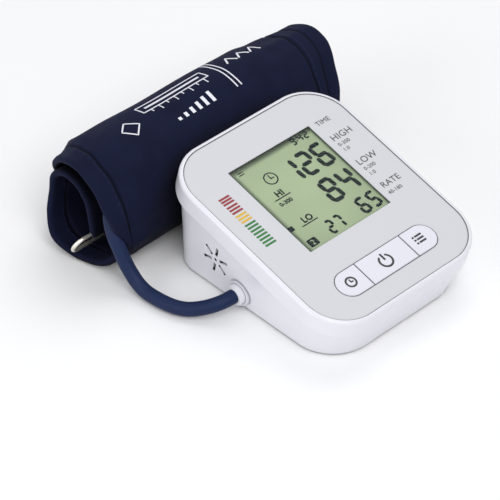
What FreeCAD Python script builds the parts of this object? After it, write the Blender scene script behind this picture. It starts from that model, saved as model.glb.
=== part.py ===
import FreeCAD, Part
import math
import os

import Sketcher
from FreeCAD import Placement, Rotation, Vector

# Desktop blood pressure monitor with its rolled arm cuff and air hose.
# Two local frames carry the pieces. The monitor frame has x = 0 on the
# monitor's centre line, y = 0 at the front edge of the face plate and z = 0
# on the table. The face frame lies on the middle of the tilted face plate:
# u to the right, v up the face, h out of the face. Sizes are in millimetres.

DRIVING = [
    ("monitor_x", 5, "monitor centre line from the origin"),
    ("monitor_y", -78.4, "front edge of the face plate from the origin"),
    ("plate_width", 90, "face plate, across"),
    ("plate_length", 108.2, "face plate, up the face"),
    ("plate_corner", 19, "face plate corner radius"),
    ("plate_thick", 1, "face plate thickness"),
    ("plate_gap", 0.15, "face plate to its recess"),
    ("face_tilt", 14.5, "tilt of the face, degrees"),
    ("face_front_height", 25.2, "front edge of the face plate above the table"),
    ("rim_width", 2, "rim of the upper case round the plate"),
    ("rim_proud", 0.3, "rim above the plate"),
    ("rim_round", 1.6, "rounding of the rim"),
    ("slab_depth", 9.2, "plate surface to the parting plane"),
    ("case_wall", 2, "wall of both case halves"),
    ("face_wall", 2, "wall under the face plate"),
    ("lip_front", 0.3, "step under the upper case, front"),
    ("lip_side_back", 2.5, "step under the upper case, sides at the back"),
    ("lip_back", 3.1, "step under the upper case, back"),
    ("base_width", 83.9, "underside, across"),
    ("base_front", 5.8, "underside, front edge"),
    ("base_back_out", 1.25, "underside beyond the back edge of the plate"),
    ("front_corner", 20, "lower case corner radius, front"),
    ("back_corner", 14, "lower case corner radius, back"),
    ("base_round", 1.4, "rounding of the underside"),
    ("floor_thick", 2, "floor of the lower case"),
    ("foot_radius", 5, "rubber foot"),
    ("foot_thick", 1.4, "rubber foot"),
    ("foot_proud", 0.6, "rubber foot below the underside"),
    ("foot_x", 28, "feet from the centre line"),
    ("foot_front_in", 8.2, "front feet from the front edge of the underside"),
    ("foot_back_in", 8, "back feet from the back edge of the underside"),
    ("window_width", 48.4, "display window, across"),
    ("window_length", 52.5, "display window, up the face"),
    ("window_v", 10.55, "display window centre"),
    ("lens_thick", 0.5, "clear display cover"),
    ("lens_gap", 0.1, "clear cover to the window edge"),
    ("glass_margin", 3, "display glass beyond the window"),
    ("glass_thick", 2.6, "display glass"),
    ("glass_gap", 0.2, "display glass to its opening and to the plate"),
    ("strip_width", 2.2, "rubber contact strips of the display"),
    ("strip_inset", 0.8, "contact strips from the end of the glass"),
    ("board_depth", 10.2, "plate surface to the main board"),
    ("board_thick", 1.6, "main board"),
    ("board_width", 65, "main board, across"),
    ("board_back_in", 6.1, "main board from the back edge of the plate"),
    ("board_step", -22, "main board, where the front tongue starts"),
    ("tongue_width", 52, "main board tongue under the buttons"),
    ("tongue_front_in", 8.1, "main board tongue from the front edge of the plate"),
    ("board_post_u", 29.7, "board posts"),
    ("board_post_front", -15, "board posts, front pair"),
    ("board_post_in", 4.5, "back board posts from the back end of the board"),
    ("board_post_radius", 2.3, "board posts"),
    ("small_screw_radius", 1, "board screws"),
    ("button_length", 57.5, "button opening, across"),
    ("button_height", 13.9, "button opening, up the face"),
    ("button_front_in", 16.55, "button opening centre from the front edge of the plate"),
    ("button_half_middle", 13.45, "middle button, half width"),
    ("button_gap", 0.3, "button to its opening"),
    ("button_proud", 0.4, "buttons above the plate"),
    ("button_flange", 1.1, "button flange beyond the opening"),
    ("button_flange_thick", 1, "button flange"),
    ("button_rest_gap", 0.1, "flange to the wall above it"),
    ("button_edge", 0.5, "rounded edge of the buttons"),
    ("side_switch_u", 21, "switches under the side buttons"),
    ("switch_side", 6, "tact switch body"),
    ("switch_body_high", 3.5, "tact switch body"),
    ("switch_stem_high", 5, "tact switch, plunger top above the board"),
    ("plunger_radius", 1.6, "tact switch plunger"),
    ("plunger_gap", 0.15, "plunger to its hole"),
    ("plunger_depth", 1.3, "plunger inside the switch body"),
    ("press_room", 1, "free depth under the plunger"),
    ("button_post_radius", 2.4, "post under each button"),
    ("screw_front_x", 36.2, "case screws, front pair"),
    ("screw_front_y", 24, "case screws, front pair"),
    ("screw_back_x", 37, "case screws, back pair"),
    ("screw_back_in", 16, "back case screws from the back edge of the underside"),
    ("seat_front", 10, "top of the front screw bosses"),
    ("seat_back", 24, "top of the back screw bosses"),
    ("boss_radius", 4.4, "screw bosses of the lower case"),
    ("post_radius", 3.2, "screw posts of the upper case"),
    ("seat_web", 3, "web under the screw heads"),
    ("screw_radius", 1.5, "case screw thread"),
    ("screw_gap", 0.05, "screw to its hole"),
    ("screw_head_radius", 2.8, "case screw head"),
    ("screw_head_high", 2, "case screw head"),
    ("screw_bite", 7, "case screw in the upper post"),
    ("head_gap", 0.4, "screw head to its tunnel"),
    ("cell_radius", 5.25, "AAA cell"),
    ("cell_length", 43.3, "AAA cell body"),
    ("cell_nub_radius", 1.9, "AAA cell, positive end"),
    ("cell_nub", 1.2, "AAA cell, positive end"),
    ("cell_pitch", 11.1, "cell spacing"),
    ("cell_clear", 0.4, "cells to the bay wall and the door"),
    ("contact_room", 2, "contact at each end of a cell"),
    ("contact_plate", 0.5, "contact plate"),
    ("bay_shift", 0.65, "battery bay behind the middle of the free floor"),
    ("bay_wall", 1.4, "battery bay wall"),
    ("door_gap", 0.3, "battery door to its opening"),
    ("door_tab_width", 4, "door hooks"),
    ("door_tab_reach", 1.6, "door hooks over the floor"),
    ("door_tab_thick", 1.2, "door hooks"),
    ("port_off", 14.8, "air socket in front of the speaker"),
    ("port_z", 9.3, "air socket"),
    ("port_boss_radius", 6, "raised ring round the air socket"),
    ("port_boss_x", 44.5, "outer face of the raised ring"),
    ("socket_radius", 4.4, "air socket body"),
    ("socket_bore", 2.6, "air socket bore"),
    ("socket_depth", 5.4, "air socket bore"),
    ("socket_length", 6.4, "air socket body"),
    ("fit_gap", 0.1, "fitted pieces"),
    ("spigot_radius", 2, "air spigots"),
    ("spigot_length", 2.5, "air spigots"),
    ("tube_wall", 1, "inner air tubes"),
    ("manifold_x", -28, "air manifold"),
    ("manifold_half", 3.4, "air manifold block"),
    ("valve_length", 19.5, "release valve"),
    ("valve_off", 10, "release valve in front of the air socket axis"),
    ("valve_half_width", 3.5, "release valve"),
    ("valve_half_high", 5, "release valve"),
    ("pump_back_in", 15, "pump axis from the back edge of the underside"),
    ("pump_z", 16.6, "pump axis"),
    ("pump_left", -20.5, "pump head, outer end"),
    ("head_length", 17, "pump head"),
    ("head_radius", 11.6, "pump head"),
    ("motor_length", 32, "pump motor"),
    ("motor_radius", 11, "pump motor"),
    ("cradle_thick", 3, "pump cradle ribs"),
    ("pump_outlet_off", 4, "pump outlet in front of the pump axis"),
    ("sensor_side", 7.6, "pressure sensor"),
    ("sensor_high", 5, "pressure sensor"),
    ("speaker_back_in", 29.45, "speaker from the back edge of the plate"),
    ("speaker_z", 18.6, "speaker"),
    ("speaker_radius", 10, "speaker"),
    ("speaker_face_x", 38.5, "front face of the speaker from the centre line"),
    ("speaker_thick", 3.4, "speaker basket"),
    ("magnet_radius", 5.5, "speaker magnet"),
    ("magnet_thick", 3, "speaker magnet"),
    ("seat_ring_wall", 2, "speaker seat ring"),
    ("slot_inner", 2.8, "sound slots, inner end"),
    ("slot_outer", 7.8, "sound slots, outer end"),
    ("slot_width", 1.5, "sound slots"),
    ("usb_back_in", 44.75, "power socket from the back edge of the plate"),
    ("usb_width", 8, "power socket"),
    ("usb_high", 3, "power socket"),
    ("usb_depth", 6, "power socket"),
    ("usb_wall", 0.4, "power socket shell"),
    ("usb_face_x", 42, "power socket, open end from the centre line"),
    ("usb_board_z", 6.5, "power socket board, underside"),
    ("usb_board_thick", 1, "power socket board"),
    ("usb_board_width", 13, "power socket board"),
    ("usb_board_left", 26.5, "power socket board, inner edge"),
    ("usb_board_right", 39.6, "power socket board, outer edge"),
    ("usb_post_radius", 2, "posts under the power socket board"),
    ("cuff_behind", 27.7, "cuff centre behind the back edge of the plate"),
    ("cuff_width", 140, "cuff, along the arm"),
    ("cuff_half", 26, "half depth of the rolled cuff"),
    ("cuff_high", 57, "height of the rolled cuff"),
    ("cuff_thick", 4.5, "cuff cloth with its lining"),
    ("roll_gap", 0.6, "gap between turns of the roll"),
    ("tail_low", 20, "outer end of the strip above the table"),
    ("loop_radius", 11.8, "inner loop, middle of the strip"),
    ("loop_top", 30, "inner loop, centre of its top bend"),
    ("ring_z", 15.7, "upper wire of the cuff ring"),
    ("ring_wire", 0.9, "cuff ring wire radius"),
    ("ring_gap", 0.1, "cuff ring wire in its sleeve"),
    ("ring_width", 9, "cuff ring, wire to wire"),
    ("ring_tilt", 27, "cuff ring from hanging straight, degrees"),
    ("ring_out", 2.5, "cuff ring end beyond the cloth, to the wire"),
    ("bladder_thick", 2, "air bladder"),
    ("bladder_margin", 13.5, "cuff cloth beyond the bladder, each end"),
    ("bladder_gap", 0.2, "bladder to its pocket"),
    ("patch_thick", 0.5, "hook patch"),
    ("patch_margin", 22, "cuff cloth beyond the hook patch, each end"),
    ("patch_length", 9, "hook patch"),
    ("notch_radius", 14, "notch in the hem that the hose leaves by"),
    ("notch_deep", 12, "depth of that notch"),
    ("notch_z", 21, "middle of that notch above the table"),
    ("corner_radius", 26, "rounded corners of the strip's free end"),
    ("hose_radius", 3.25, "air hose"),
    ("fitting_radius", 5, "bladder fitting flange"),
    ("fitting_flange", 1.2, "bladder fitting flange"),
    ("fitting_gap", 1, "bladder fitting to the flat of the cloth, less where the turn begins"),
    ("fitting_drop", 2, "flange centre below the hose"),
    ("fitting_neck", 2.6, "bladder fitting pipe radius"),
    ("fitting_step", 0.4, "elbow of the fitting beyond its neck"),
    ("fitting_elbow", 8, "bladder fitting pipe along the hose"),
    ("plug_flange_radius", 4.8, "air plug flange"),
    ("plug_flange", 2, "air plug flange"),
    ("plug_neck_radius", 4, "air plug collar round the hose"),
    ("plug_neck", 0.5, "air plug collar"),
    ("plug_nose", 5, "air plug nose"),
    ("seal_wire", 0.5, "plug seal"),
    ("chip_side", 12, "largest chip, square"),
    ("small_chip", 5.5, "two smaller chips, square"),
    ("chip_thick", 1.6, "chips under the board"),
    ("chip_u", 4, "largest chip from the middle of the face"),
    ("tube_gap", 0.1, "tube ends from the walls they run to"),
    ("tube_shy", 0.8, "sensor tube above the manifold"),
    ("yoke_end", 3, "end plates of the release valve's yoke"),
    ("yoke_wall", 1.2, "side plates of the release valve's yoke"),
    ("core_radius", 1.4, "core of the release valve"),
    ("contact_side", 8, "battery contact plate, square"),
    ("contact_stud", 1.6, "raised middle of the battery contacts"),
    ("tongue_in", 1.3, "power socket tongue from the sides"),
    ("tongue_thick", 0.7, "power socket tongue"),
    ("tongue_short", 2, "power socket tongue behind the mouth"),
]

doc = FreeCAD.newDocument("arm_monitor")
dims = doc.addObject("Spreadsheet::Sheet", "dims")
for line, (alias, size, note) in enumerate(DRIVING, start=1):
    dims.set(f"A{line}", note)
    dims.set(f"B{line}", str(size))
    dims.setAlias(f"B{line}", alias)
doc.recompute()

FACE_Y = "(dims.plate_length / 2 * cos(dims.face_tilt))"
FACE_Z = "(dims.face_front_height + dims.plate_length / 2 * sin(dims.face_tilt))"
BACK_EDGE = "(dims.plate_length * cos(dims.face_tilt))"
BASE_BACK = f"({BACK_EDGE} + dims.base_back_out)"
FOOT_FRONT = "(dims.base_front + dims.foot_front_in)"
FOOT_BACK = f"({BASE_BACK} - dims.foot_back_in)"
SCREW_BACK = f"({BASE_BACK} - dims.screw_back_in)"
PUMP_Y = f"({BASE_BACK} - dims.pump_back_in)"
PUMP_OUTLET = f"({PUMP_Y} - dims.pump_outlet_off)"
SPEAKER_Y = f"({BACK_EDGE} - dims.speaker_back_in)"
PORT = f"({SPEAKER_Y} - dims.port_off)"
USB_Y = f"({BACK_EDGE} - dims.usb_back_in)"
VALVE_BACK = f"({PORT} - dims.valve_off)"
VALVE_FRONT = f"({VALVE_BACK} - dims.valve_length)"
BOARD_BACK = "(dims.plate_length / 2 - dims.board_back_in)"
BOARD_POST_BACK = f"({BOARD_BACK} - dims.board_post_in)"
TONGUE_FRONT = "(dims.tongue_front_in - dims.plate_length / 2)"
BUTTON_V = "(dims.button_front_in - dims.plate_length / 2)"
CUFF_Y = f"(dims.monitor_y + {BACK_EDGE} + dims.cuff_behind)"
BLADDER_WIDTH = "(dims.cuff_width - 2 * dims.bladder_margin)"
PATCH_WIDTH = "(dims.cuff_width - 2 * dims.patch_margin)"
CASE_HALF = "(dims.plate_width / 2 + dims.rim_width)"
CASE_END = "(dims.plate_length / 2 + dims.rim_width)"
CASE_CORNER = "(dims.plate_corner + dims.rim_width)"
CEILING = "(dims.plate_thick + dims.face_wall)"
FLOOR_TOP = "(dims.foot_proud + dims.floor_thick)"
GLASS_TOP = "(dims.plate_thick + dims.glass_gap)"
GLASS_LOW = "(dims.plate_thick + dims.glass_gap + dims.glass_thick)"
BOARD_LOW = "(dims.board_depth + dims.board_thick)"
FLANGE_TOP = "(dims.plate_thick + dims.face_wall + dims.button_rest_gap)"
BAY_HALF = "(dims.cell_pitch * 1.5 + dims.cell_radius + dims.cell_clear)"
BAY_LENGTH = "(dims.cell_length + dims.cell_nub + 2 * dims.contact_room)"
FREE_MIDDLE = f"((dims.base_front + dims.case_wall + {PUMP_Y} - dims.head_radius) / 2)"
BAY_FRONT = f"({FREE_MIDDLE} - {BAY_LENGTH} / 2 + dims.bay_shift)"
BAY_BACK = f"({BAY_FRONT} + {BAY_LENGTH})"
CELL_Z = f"({FLOOR_TOP} + dims.cell_clear + dims.cell_radius)"
BAY_TOP = f"({CELL_Z} + dims.cell_radius + dims.cell_clear)"
ROLL_STEP = "(dims.cuff_thick + dims.roll_gap)"
OUTER_BEND = "(dims.cuff_half - dims.cuff_thick / 2)"
LOW_BEND = f"({OUTER_BEND} - {ROLL_STEP} / 2)"
TOP_BEND_Z = "(dims.cuff_high - dims.cuff_half)"
LOW_BEND_Z = f"({LOW_BEND} + dims.cuff_thick / 2)"
INNER_BACK = f"({OUTER_BEND} - {ROLL_STEP})"
INNER_FRONT = f"({INNER_BACK} - 2 * dims.loop_radius)"

pieces = []


def size(expression):
    """The present value of an expression over the sheet."""
    return float(dims.evalExpression(str(expression)))


def bind(item, path, expression):
    """Ties one property of an object to the sheet."""
    item.setExpression(path, str(expression))


def move(item, at):
    """Ties the position of an object to three expressions."""
    for axis, expression in zip("xyz", at):
        bind(item, f"Placement.Base.{axis}", expression)


def box(label, extent, low):
    """A block from its low corner."""
    item = doc.addObject("Part::Box", label)
    for path, expression in zip(("Length", "Width", "Height"), extent):
        bind(item, path, expression)
    move(item, low)
    return item


def middle_box(label, extent, centre, low):
    """A block about a centre in x and y, standing on a height."""
    corner = [f"{centre[0]} - ({extent[0]}) / 2", f"{centre[1]} - ({extent[1]}) / 2", low]
    return box(label, extent, corner)


TURNS = {
    "x": Rotation(Vector(0, 1, 0), 90),
    "y": Rotation(Vector(1, 0, 0), -90),
    "z": Rotation(),
}


def rod(label, radius, length, start, axis="z"):
    """A cylinder from the middle of its first end along an axis."""
    item = doc.addObject("Part::Cylinder", label)
    item.Placement = Placement(Vector(), TURNS[axis])
    bind(item, "Radius", radius)
    bind(item, "Height", length)
    move(item, start)
    return item


def fuse(label, *items):
    """One solid out of several."""
    item = doc.addObject("Part::MultiFuse", label)
    item.Shapes = list(items)
    return item


def cut(label, base, *tools):
    """A solid less the tools."""
    item = doc.addObject("Part::Cut", label)
    item.Base = base
    item.Tool = tools[0] if len(tools) == 1 else fuse(label + "_tools", *tools)
    return item


def shared(label, first, second):
    """What two solids have in common."""
    item = doc.addObject("Part::MultiCommon", label)
    item.Shapes = [first, second]
    return item


def group(label, items):
    """Several separate solids in one node."""
    item = doc.addObject("Part::Compound", label)
    item.Links = list(items)
    return item


def finish(item, label):
    """Names a finished piece."""
    item.Label = label
    pieces.append(item)
    return item


def in_monitor(item, label, at=("0", "0", "0")):
    """Sets a finished piece in the monitor frame."""
    move(item, (f"dims.monitor_x + {at[0]}", f"dims.monitor_y + {at[1]}", at[2]))
    return finish(item, label)


def tilt(item, at=("0", "0", "0"), shift_x="0", shift_y="0"):
    """Sets an object in the face frame at u, v, h."""
    item.Placement = Placement(Vector(), Rotation(Vector(1, 0, 0), 10))
    bind(item, "Placement.Rotation.Angle", "dims.face_tilt")
    u, v, h = at
    move(
        item,
        (
            f"{shift_x} + {u}",
            f"{shift_y} + {FACE_Y} + ({v}) * cos(dims.face_tilt) - ({h}) * sin(dims.face_tilt)",
            f"{FACE_Z} + ({v}) * sin(dims.face_tilt) + ({h}) * cos(dims.face_tilt)",
        ),
    )


def on_face(item, label, at=("0", "0", "0")):
    """Sets a finished piece in the face frame."""
    tilt(item, at, "dims.monitor_x", "dims.monitor_y")
    return finish(item, label)


def new_body(label):
    """An empty body."""
    return doc.addObject("PartDesign::Body", label)


def plane(body, name):
    """One of the body's own origin planes."""
    return next(item for item in body.Origin.OriginFeatures if item.Role == name)


def sketch_on(body, label, at=("0", "0", "0"), base="XY_Plane", lean=None):
    """A sketch on an origin plane of the body, set off along it and maybe leaned about x."""
    sketch = body.newObject("Sketcher::SketchObject", label)
    sketch.AttachmentSupport = [(plane(body, base), "")]
    sketch.MapMode = "FlatFace"
    if lean is not None:
        sketch.AttachmentOffset = Placement(Vector(), Rotation(Vector(1, 0, 0), 10))
        bind(sketch, "AttachmentOffset.Rotation.Angle", lean)
    for axis, expression in zip("xyz", at):
        bind(sketch, f"AttachmentOffset.Base.{axis}", expression)
    return sketch


def dimension(sketch, name, constraint, expression):
    """Adds a named dimension tied to the sheet."""
    number = sketch.addConstraint(constraint)
    sketch.renameConstraint(number, name)
    bind(sketch, f"Constraints.{name}", expression)


def outline(sketch, front_half, back_half, front, back, front_corner, back_corner):
    """A closed outline with rounded corners, mirrored about the sketch's y axis."""
    fh, bh = size(front_half), size(back_half)
    fr, br = size(front_corner), size(back_corner)
    y0, y1 = -size(front), size(back)
    corners = [
        (Vector(-fh + fr, y0 + fr), fr, 180, 270),
        (Vector(fh - fr, y0 + fr), fr, 270, 360),
        (Vector(bh - br, y1 - br), br, 0, 90),
        (Vector(-bh + br, y1 - br), br, 90, 180),
    ]
    arcs = [
        sketch.addGeometry(
            Part.ArcOfCircle(Part.Circle(centre, Vector(0, 0, 1), radius), math.radians(a), math.radians(b))
        )
        for centre, radius, a, b in corners
    ]
    sides = []
    for here, after in zip(arcs, arcs[1:] + arcs[:1]):
        start = sketch.getPoint(here, 2)
        end = sketch.getPoint(after, 1)
        sides.append(sketch.addGeometry(Part.LineSegment(start, end)))
    for number, side in enumerate(sides):
        after = arcs[(number + 1) % 4]
        sketch.addConstraint(Sketcher.Constraint("Tangent", arcs[number], 2, side, 1))
        sketch.addConstraint(Sketcher.Constraint("Tangent", side, 2, after, 1))
    front_side, back_side = sides[0], sides[2]
    sketch.addConstraint(Sketcher.Constraint("Horizontal", front_side))
    sketch.addConstraint(Sketcher.Constraint("Horizontal", back_side))
    sketch.addConstraint(Sketcher.Constraint("Equal", arcs[0], arcs[1]))
    sketch.addConstraint(Sketcher.Constraint("Equal", arcs[2], arcs[3]))
    dimension(sketch, "front_corner", Sketcher.Constraint("Radius", arcs[0], fr), front_corner)
    dimension(sketch, "back_corner", Sketcher.Constraint("Radius", arcs[2], br), back_corner)
    front_flat = f"{front_half} - ({front_corner})"
    back_flat = f"{back_half} - ({back_corner})"
    left_run = Sketcher.Constraint("DistanceX", front_side, 1, -1, 1, fh - fr)
    right_run = Sketcher.Constraint("DistanceX", -1, 1, front_side, 2, fh - fr)
    dimension(sketch, "front_left", left_run, front_flat)
    dimension(sketch, "front_right", right_run, front_flat)
    dimension(sketch, "back_right", Sketcher.Constraint("DistanceX", -1, 1, back_side, 1, bh - br), back_flat)
    dimension(sketch, "back_left", Sketcher.Constraint("DistanceX", back_side, 2, -1, 1, bh - br), back_flat)
    dimension(sketch, "front", Sketcher.Constraint("DistanceY", front_side, 1, -1, 1, -y0), front)
    dimension(sketch, "back", Sketcher.Constraint("DistanceY", -1, 1, back_side, 1, y1), back)
    return sketch


def rectangle(sketch, width, length, corner):
    """A rounded rectangle about the sketch's origin."""
    half, end = f"({width}) / 2", f"({length}) / 2"
    return outline(sketch, half, half, end, end, corner, corner)


def circle(sketch, radius):
    """A circle about the sketch's origin."""
    ring = sketch.addGeometry(Part.Circle(Vector(), Vector(0, 0, 1), size(radius)))
    sketch.addConstraint(Sketcher.Constraint("Coincident", ring, 3, -1, 1))
    dimension(sketch, "radius", Sketcher.Constraint("Radius", ring, size(radius)), radius)
    return sketch


def pad(body, sketch, length, down=False):
    """Pads a sketch by a bound length."""
    item = body.newObject("PartDesign::Pad", sketch.Label + "_pad")
    item.Profile = sketch
    item.Reversed = down
    bind(item, "Length", length)
    doc.recompute()
    return item


def pocket(body, sketch, depth, up=False):
    """Pockets a sketch by a bound depth, downwards unless told otherwise."""
    item = body.newObject("PartDesign::Pocket", sketch.Label + "_pocket")
    item.Profile = sketch
    item.Reversed = up
    bind(item, "Length", depth)
    doc.recompute()
    return item


def edges_at(feature, height):
    """Names of the edges that lie at one height of a feature."""
    found = []
    for number, edge in enumerate(feature.Shape.Edges, start=1):
        bounds = edge.BoundBox
        if abs(bounds.ZMin - height) < 1e-4 and abs(bounds.ZMax - height) < 1e-4:
            found.append(f"Edge{number}")
    return found


def round_edges(body, feature, height, radius):
    """Rounds every edge at one height of a feature."""
    item = body.newObject("PartDesign::Fillet", feature.Label + "_round")
    item.Base = (feature, edges_at(feature, size(height)))
    bind(item, "Radius", radius)
    doc.recompute()
    return item


# Upper case: a slab in the face frame with a recess for the face plate.
upper = new_body("upper_shell")
upper_sketch = sketch_on(upper, "upper_outline", ("0", "0", "-dims.slab_depth"))
rectangle(upper_sketch, f"2 * {CASE_HALF}", f"2 * {CASE_END}", CASE_CORNER)
upper_pad = pad(upper, upper_sketch, "dims.slab_depth + dims.rim_proud")
round_edges(upper, upper_pad, "dims.rim_proud", "dims.rim_round")
recess = sketch_on(upper, "plate_recess", ("0", "0", "dims.rim_proud"))
rectangle(
    recess,
    "dims.plate_width + 2 * dims.plate_gap",
    "dims.plate_length + 2 * dims.plate_gap",
    "dims.plate_corner + dims.plate_gap",
)
pocket(upper, recess, "dims.rim_proud + dims.plate_thick")
hollow = sketch_on(upper, "upper_hollow", ("0", "0", "-dims.slab_depth"))
rectangle(
    hollow,
    f"2 * ({CASE_HALF} - dims.case_wall)",
    f"2 * ({CASE_END} - dims.case_wall)",
    f"{CASE_CORNER} - dims.case_wall",
)
pocket(upper, hollow, f"dims.slab_depth - {CEILING}", up=True)
glass_hole = sketch_on(upper, "glass_opening", ("0", "dims.window_v", "-dims.plate_thick"))
rectangle(
    glass_hole,
    "dims.window_width + 2 * dims.glass_margin + 2 * dims.glass_gap",
    "dims.window_length + 2 * dims.glass_margin + 2 * dims.glass_gap",
    "0.6",
)
pocket(upper, glass_hole, "dims.face_wall")
button_hole = sketch_on(upper, "button_opening", ("0", BUTTON_V, "-dims.plate_thick"))
rectangle(button_hole, "dims.button_length", "dims.button_height", "dims.button_height / 2 - 0.01")
pocket(upper, button_hole, "dims.face_wall")
tilt(upper)

POST_TOP_FRONT = (
    f"(dims.face_front_height + dims.screw_front_y * tan(dims.face_tilt)"
    f" - ({CEILING} - dims.face_wall / 2) / cos(dims.face_tilt))"
)
POST_TOP_BACK = (
    f"(dims.face_front_height + {SCREW_BACK} * tan(dims.face_tilt)"
    f" - ({CEILING} - dims.face_wall / 2) / cos(dims.face_tilt))"
)
CORNERS = [
    ("front_left", "-dims.screw_front_x", "dims.screw_front_y", "dims.seat_front", POST_TOP_FRONT),
    ("front_right", "dims.screw_front_x", "dims.screw_front_y", "dims.seat_front", POST_TOP_FRONT),
    ("back_left", "-dims.screw_back_x", SCREW_BACK, "dims.seat_back", POST_TOP_BACK),
    ("back_right", "dims.screw_back_x", SCREW_BACK, "dims.seat_back", POST_TOP_BACK),
]
case_posts = []
case_pilots = []
for corner, x, y, seat, top in CORNERS:
    case_posts.append(rod(f"post_{corner}", "dims.post_radius", f"{top} - {seat}", (x, y, seat)))
    case_pilots.append(
        rod(f"pilot_{corner}", "dims.screw_radius + dims.screw_gap", "dims.screw_bite + 0.5", (x, y, seat))
    )
BOARD_POSTS = [
    ("front_left", "-dims.board_post_u", "dims.board_post_front"),
    ("front_right", "dims.board_post_u", "dims.board_post_front"),
    ("back_left", "-dims.board_post_u", BOARD_POST_BACK),
    ("back_right", "dims.board_post_u", BOARD_POST_BACK),
]
board_posts = []
board_pilots = []
for corner, u, v in BOARD_POSTS:
    post = rod(
        f"board_post_{corner}",
        "dims.board_post_radius",
        f"dims.board_depth - {CEILING} + dims.face_wall / 2",
        ("0", "0", "0"),
    )
    tilt(post, (u, v, "-dims.board_depth"))
    board_posts.append(post)
    pilot = rod(f"board_pilot_{corner}", "dims.small_screw_radius + dims.screw_gap", "5", ("0", "0", "0"))
    tilt(pilot, (u, v, "-dims.board_depth"))
    board_pilots.append(pilot)
upper_full = fuse("upper_with_posts", upper, *case_posts, *board_posts)
in_monitor(cut("upper_cut", upper_full, *case_pilots, *board_pilots), "upper_case")

# Face plate, clear cover and display.
plate = new_body("plate_body")
plate_sketch = sketch_on(plate, "plate_outline", ("0", "0", "-dims.plate_thick"))
rectangle(plate_sketch, "dims.plate_width", "dims.plate_length", "dims.plate_corner")
pad(plate, plate_sketch, "dims.plate_thick")
window = sketch_on(plate, "plate_window", ("0", "dims.window_v", "0"))
rectangle(window, "dims.window_width", "dims.window_length", "0.4")
pocket(plate, window, "dims.plate_thick")
plate_buttons = sketch_on(plate, "plate_buttons", ("0", BUTTON_V, "0"))
rectangle(plate_buttons, "dims.button_length", "dims.button_height", "dims.button_height / 2 - 0.01")
pocket(plate, plate_buttons, "dims.plate_thick")
on_face(plate, "face_plate")

lens = middle_box(
    "lens",
    ("dims.window_width - 2 * dims.lens_gap", "dims.window_length - 2 * dims.lens_gap", "dims.lens_thick"),
    ("0", "0"),
    "0",
)
on_face(
    lens,
    "display_cover",
    (
        "-dims.window_width / 2 + dims.lens_gap",
        "dims.window_v - dims.window_length / 2 + dims.lens_gap",
        "-dims.plate_thick",
    ),
)
GLASS_WIDTH = "(dims.window_width + 2 * dims.glass_margin)"
GLASS_LENGTH = "(dims.window_length + 2 * dims.glass_margin)"
glass = box("glass", (GLASS_WIDTH, GLASS_LENGTH, "dims.glass_thick"), ("0", "0", "0"))
on_face(
    glass,
    "display_glass",
    (f"-{GLASS_WIDTH} / 2", f"dims.window_v - {GLASS_LENGTH} / 2", f"-{GLASS_LOW}"),
)
STRIP_HIGH = f"(dims.board_depth - {GLASS_LOW})"
strips = []
for end, sign in (("front", "-1"), ("back", "1")):
    strips.append(
        middle_box(
            f"strip_{end}",
            (f"{GLASS_WIDTH} - 8", "dims.strip_width", STRIP_HIGH),
            (
                "0",
                f"dims.window_v + {sign} * ({GLASS_LENGTH} / 2 - dims.strip_inset - dims.strip_width / 2)",
            ),
            "-dims.board_depth",
        )
    )
on_face(group("strip_pair", strips), "contact_strips")
LIGHT_LENGTH = f"({GLASS_LENGTH} - 2 * (dims.strip_inset + dims.strip_width) - 1)"
light = new_body("light_body")
light_sketch = sketch_on(light, "light_outline", ("0", "dims.window_v", "-dims.board_depth"))
rectangle(light_sketch, f"{GLASS_WIDTH} - 6", LIGHT_LENGTH, "1.5")
pad(light, light_sketch, STRIP_HIGH)
on_face(light, "display_tray")

# Main board with its switches, screws, chips and pressure sensor.
board_main = box(
    "board_main",
    ("dims.board_width", f"{BOARD_BACK} - dims.board_step", "dims.board_thick"),
    ("-dims.board_width / 2", "dims.board_step", f"-{BOARD_LOW}"),
)
board_tongue = box(
    "board_tongue",
    ("dims.tongue_width", f"dims.board_step - {TONGUE_FRONT}", "dims.board_thick"),
    ("-dims.tongue_width / 2", TONGUE_FRONT, f"-{BOARD_LOW}"),
)
board_holes = []
board_screws = []
for corner, u, v in BOARD_POSTS:
    board_holes.append(
        rod(
            f"board_hole_{corner}",
            "dims.small_screw_radius + 0.2",
            "dims.board_thick",
            (u, v, f"-{BOARD_LOW}"),
        )
    )
    shank = rod(
        f"board_shank_{corner}", "dims.small_screw_radius", "dims.board_thick + 4", (u, v, f"-{BOARD_LOW}")
    )
    head = rod(f"board_head_{corner}", "2 * dims.small_screw_radius", "1.4", (u, v, f"-{BOARD_LOW} - 1.4"))
    board_screws.append(fuse(f"board_screw_{corner}", shank, head))
on_face(cut("board_cut", fuse("board_blank", board_main, board_tongue), *board_holes), "main_board")
on_face(group("board_screw_set", board_screws), "board_screws")

SWITCHES = [
    ("set", "-dims.side_switch_u"),
    ("power", "0"),
    ("memory", "dims.side_switch_u"),
]
PLUNGER_TOP = "(dims.switch_stem_high - dims.board_depth)"
switch_bodies = []
for name, u in SWITCHES:
    block = middle_box(
        f"switch_block_{name}",
        ("dims.switch_side", "dims.switch_side", "dims.switch_body_high"),
        (u, BUTTON_V),
        "-dims.board_depth",
    )
    well = rod(
        f"switch_well_{name}",
        "dims.plunger_radius + dims.plunger_gap",
        "dims.plunger_depth + dims.press_room",
        (
            u,
            BUTTON_V,
            "-dims.board_depth + dims.switch_body_high - dims.plunger_depth - dims.press_room",
        ),
    )
    switch_bodies.append(cut(f"switch_body_{name}", block, well))
    plunger = rod(
        f"plunger_{name}",
        "dims.plunger_radius",
        "dims.switch_stem_high - dims.switch_body_high + dims.plunger_depth",
        ("0", "0", "0"),
    )
    on_face(
        plunger,
        f"{name}_switch_plunger",
        (u, BUTTON_V, "-dims.board_depth + dims.switch_body_high - dims.plunger_depth"),
    )
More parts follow.
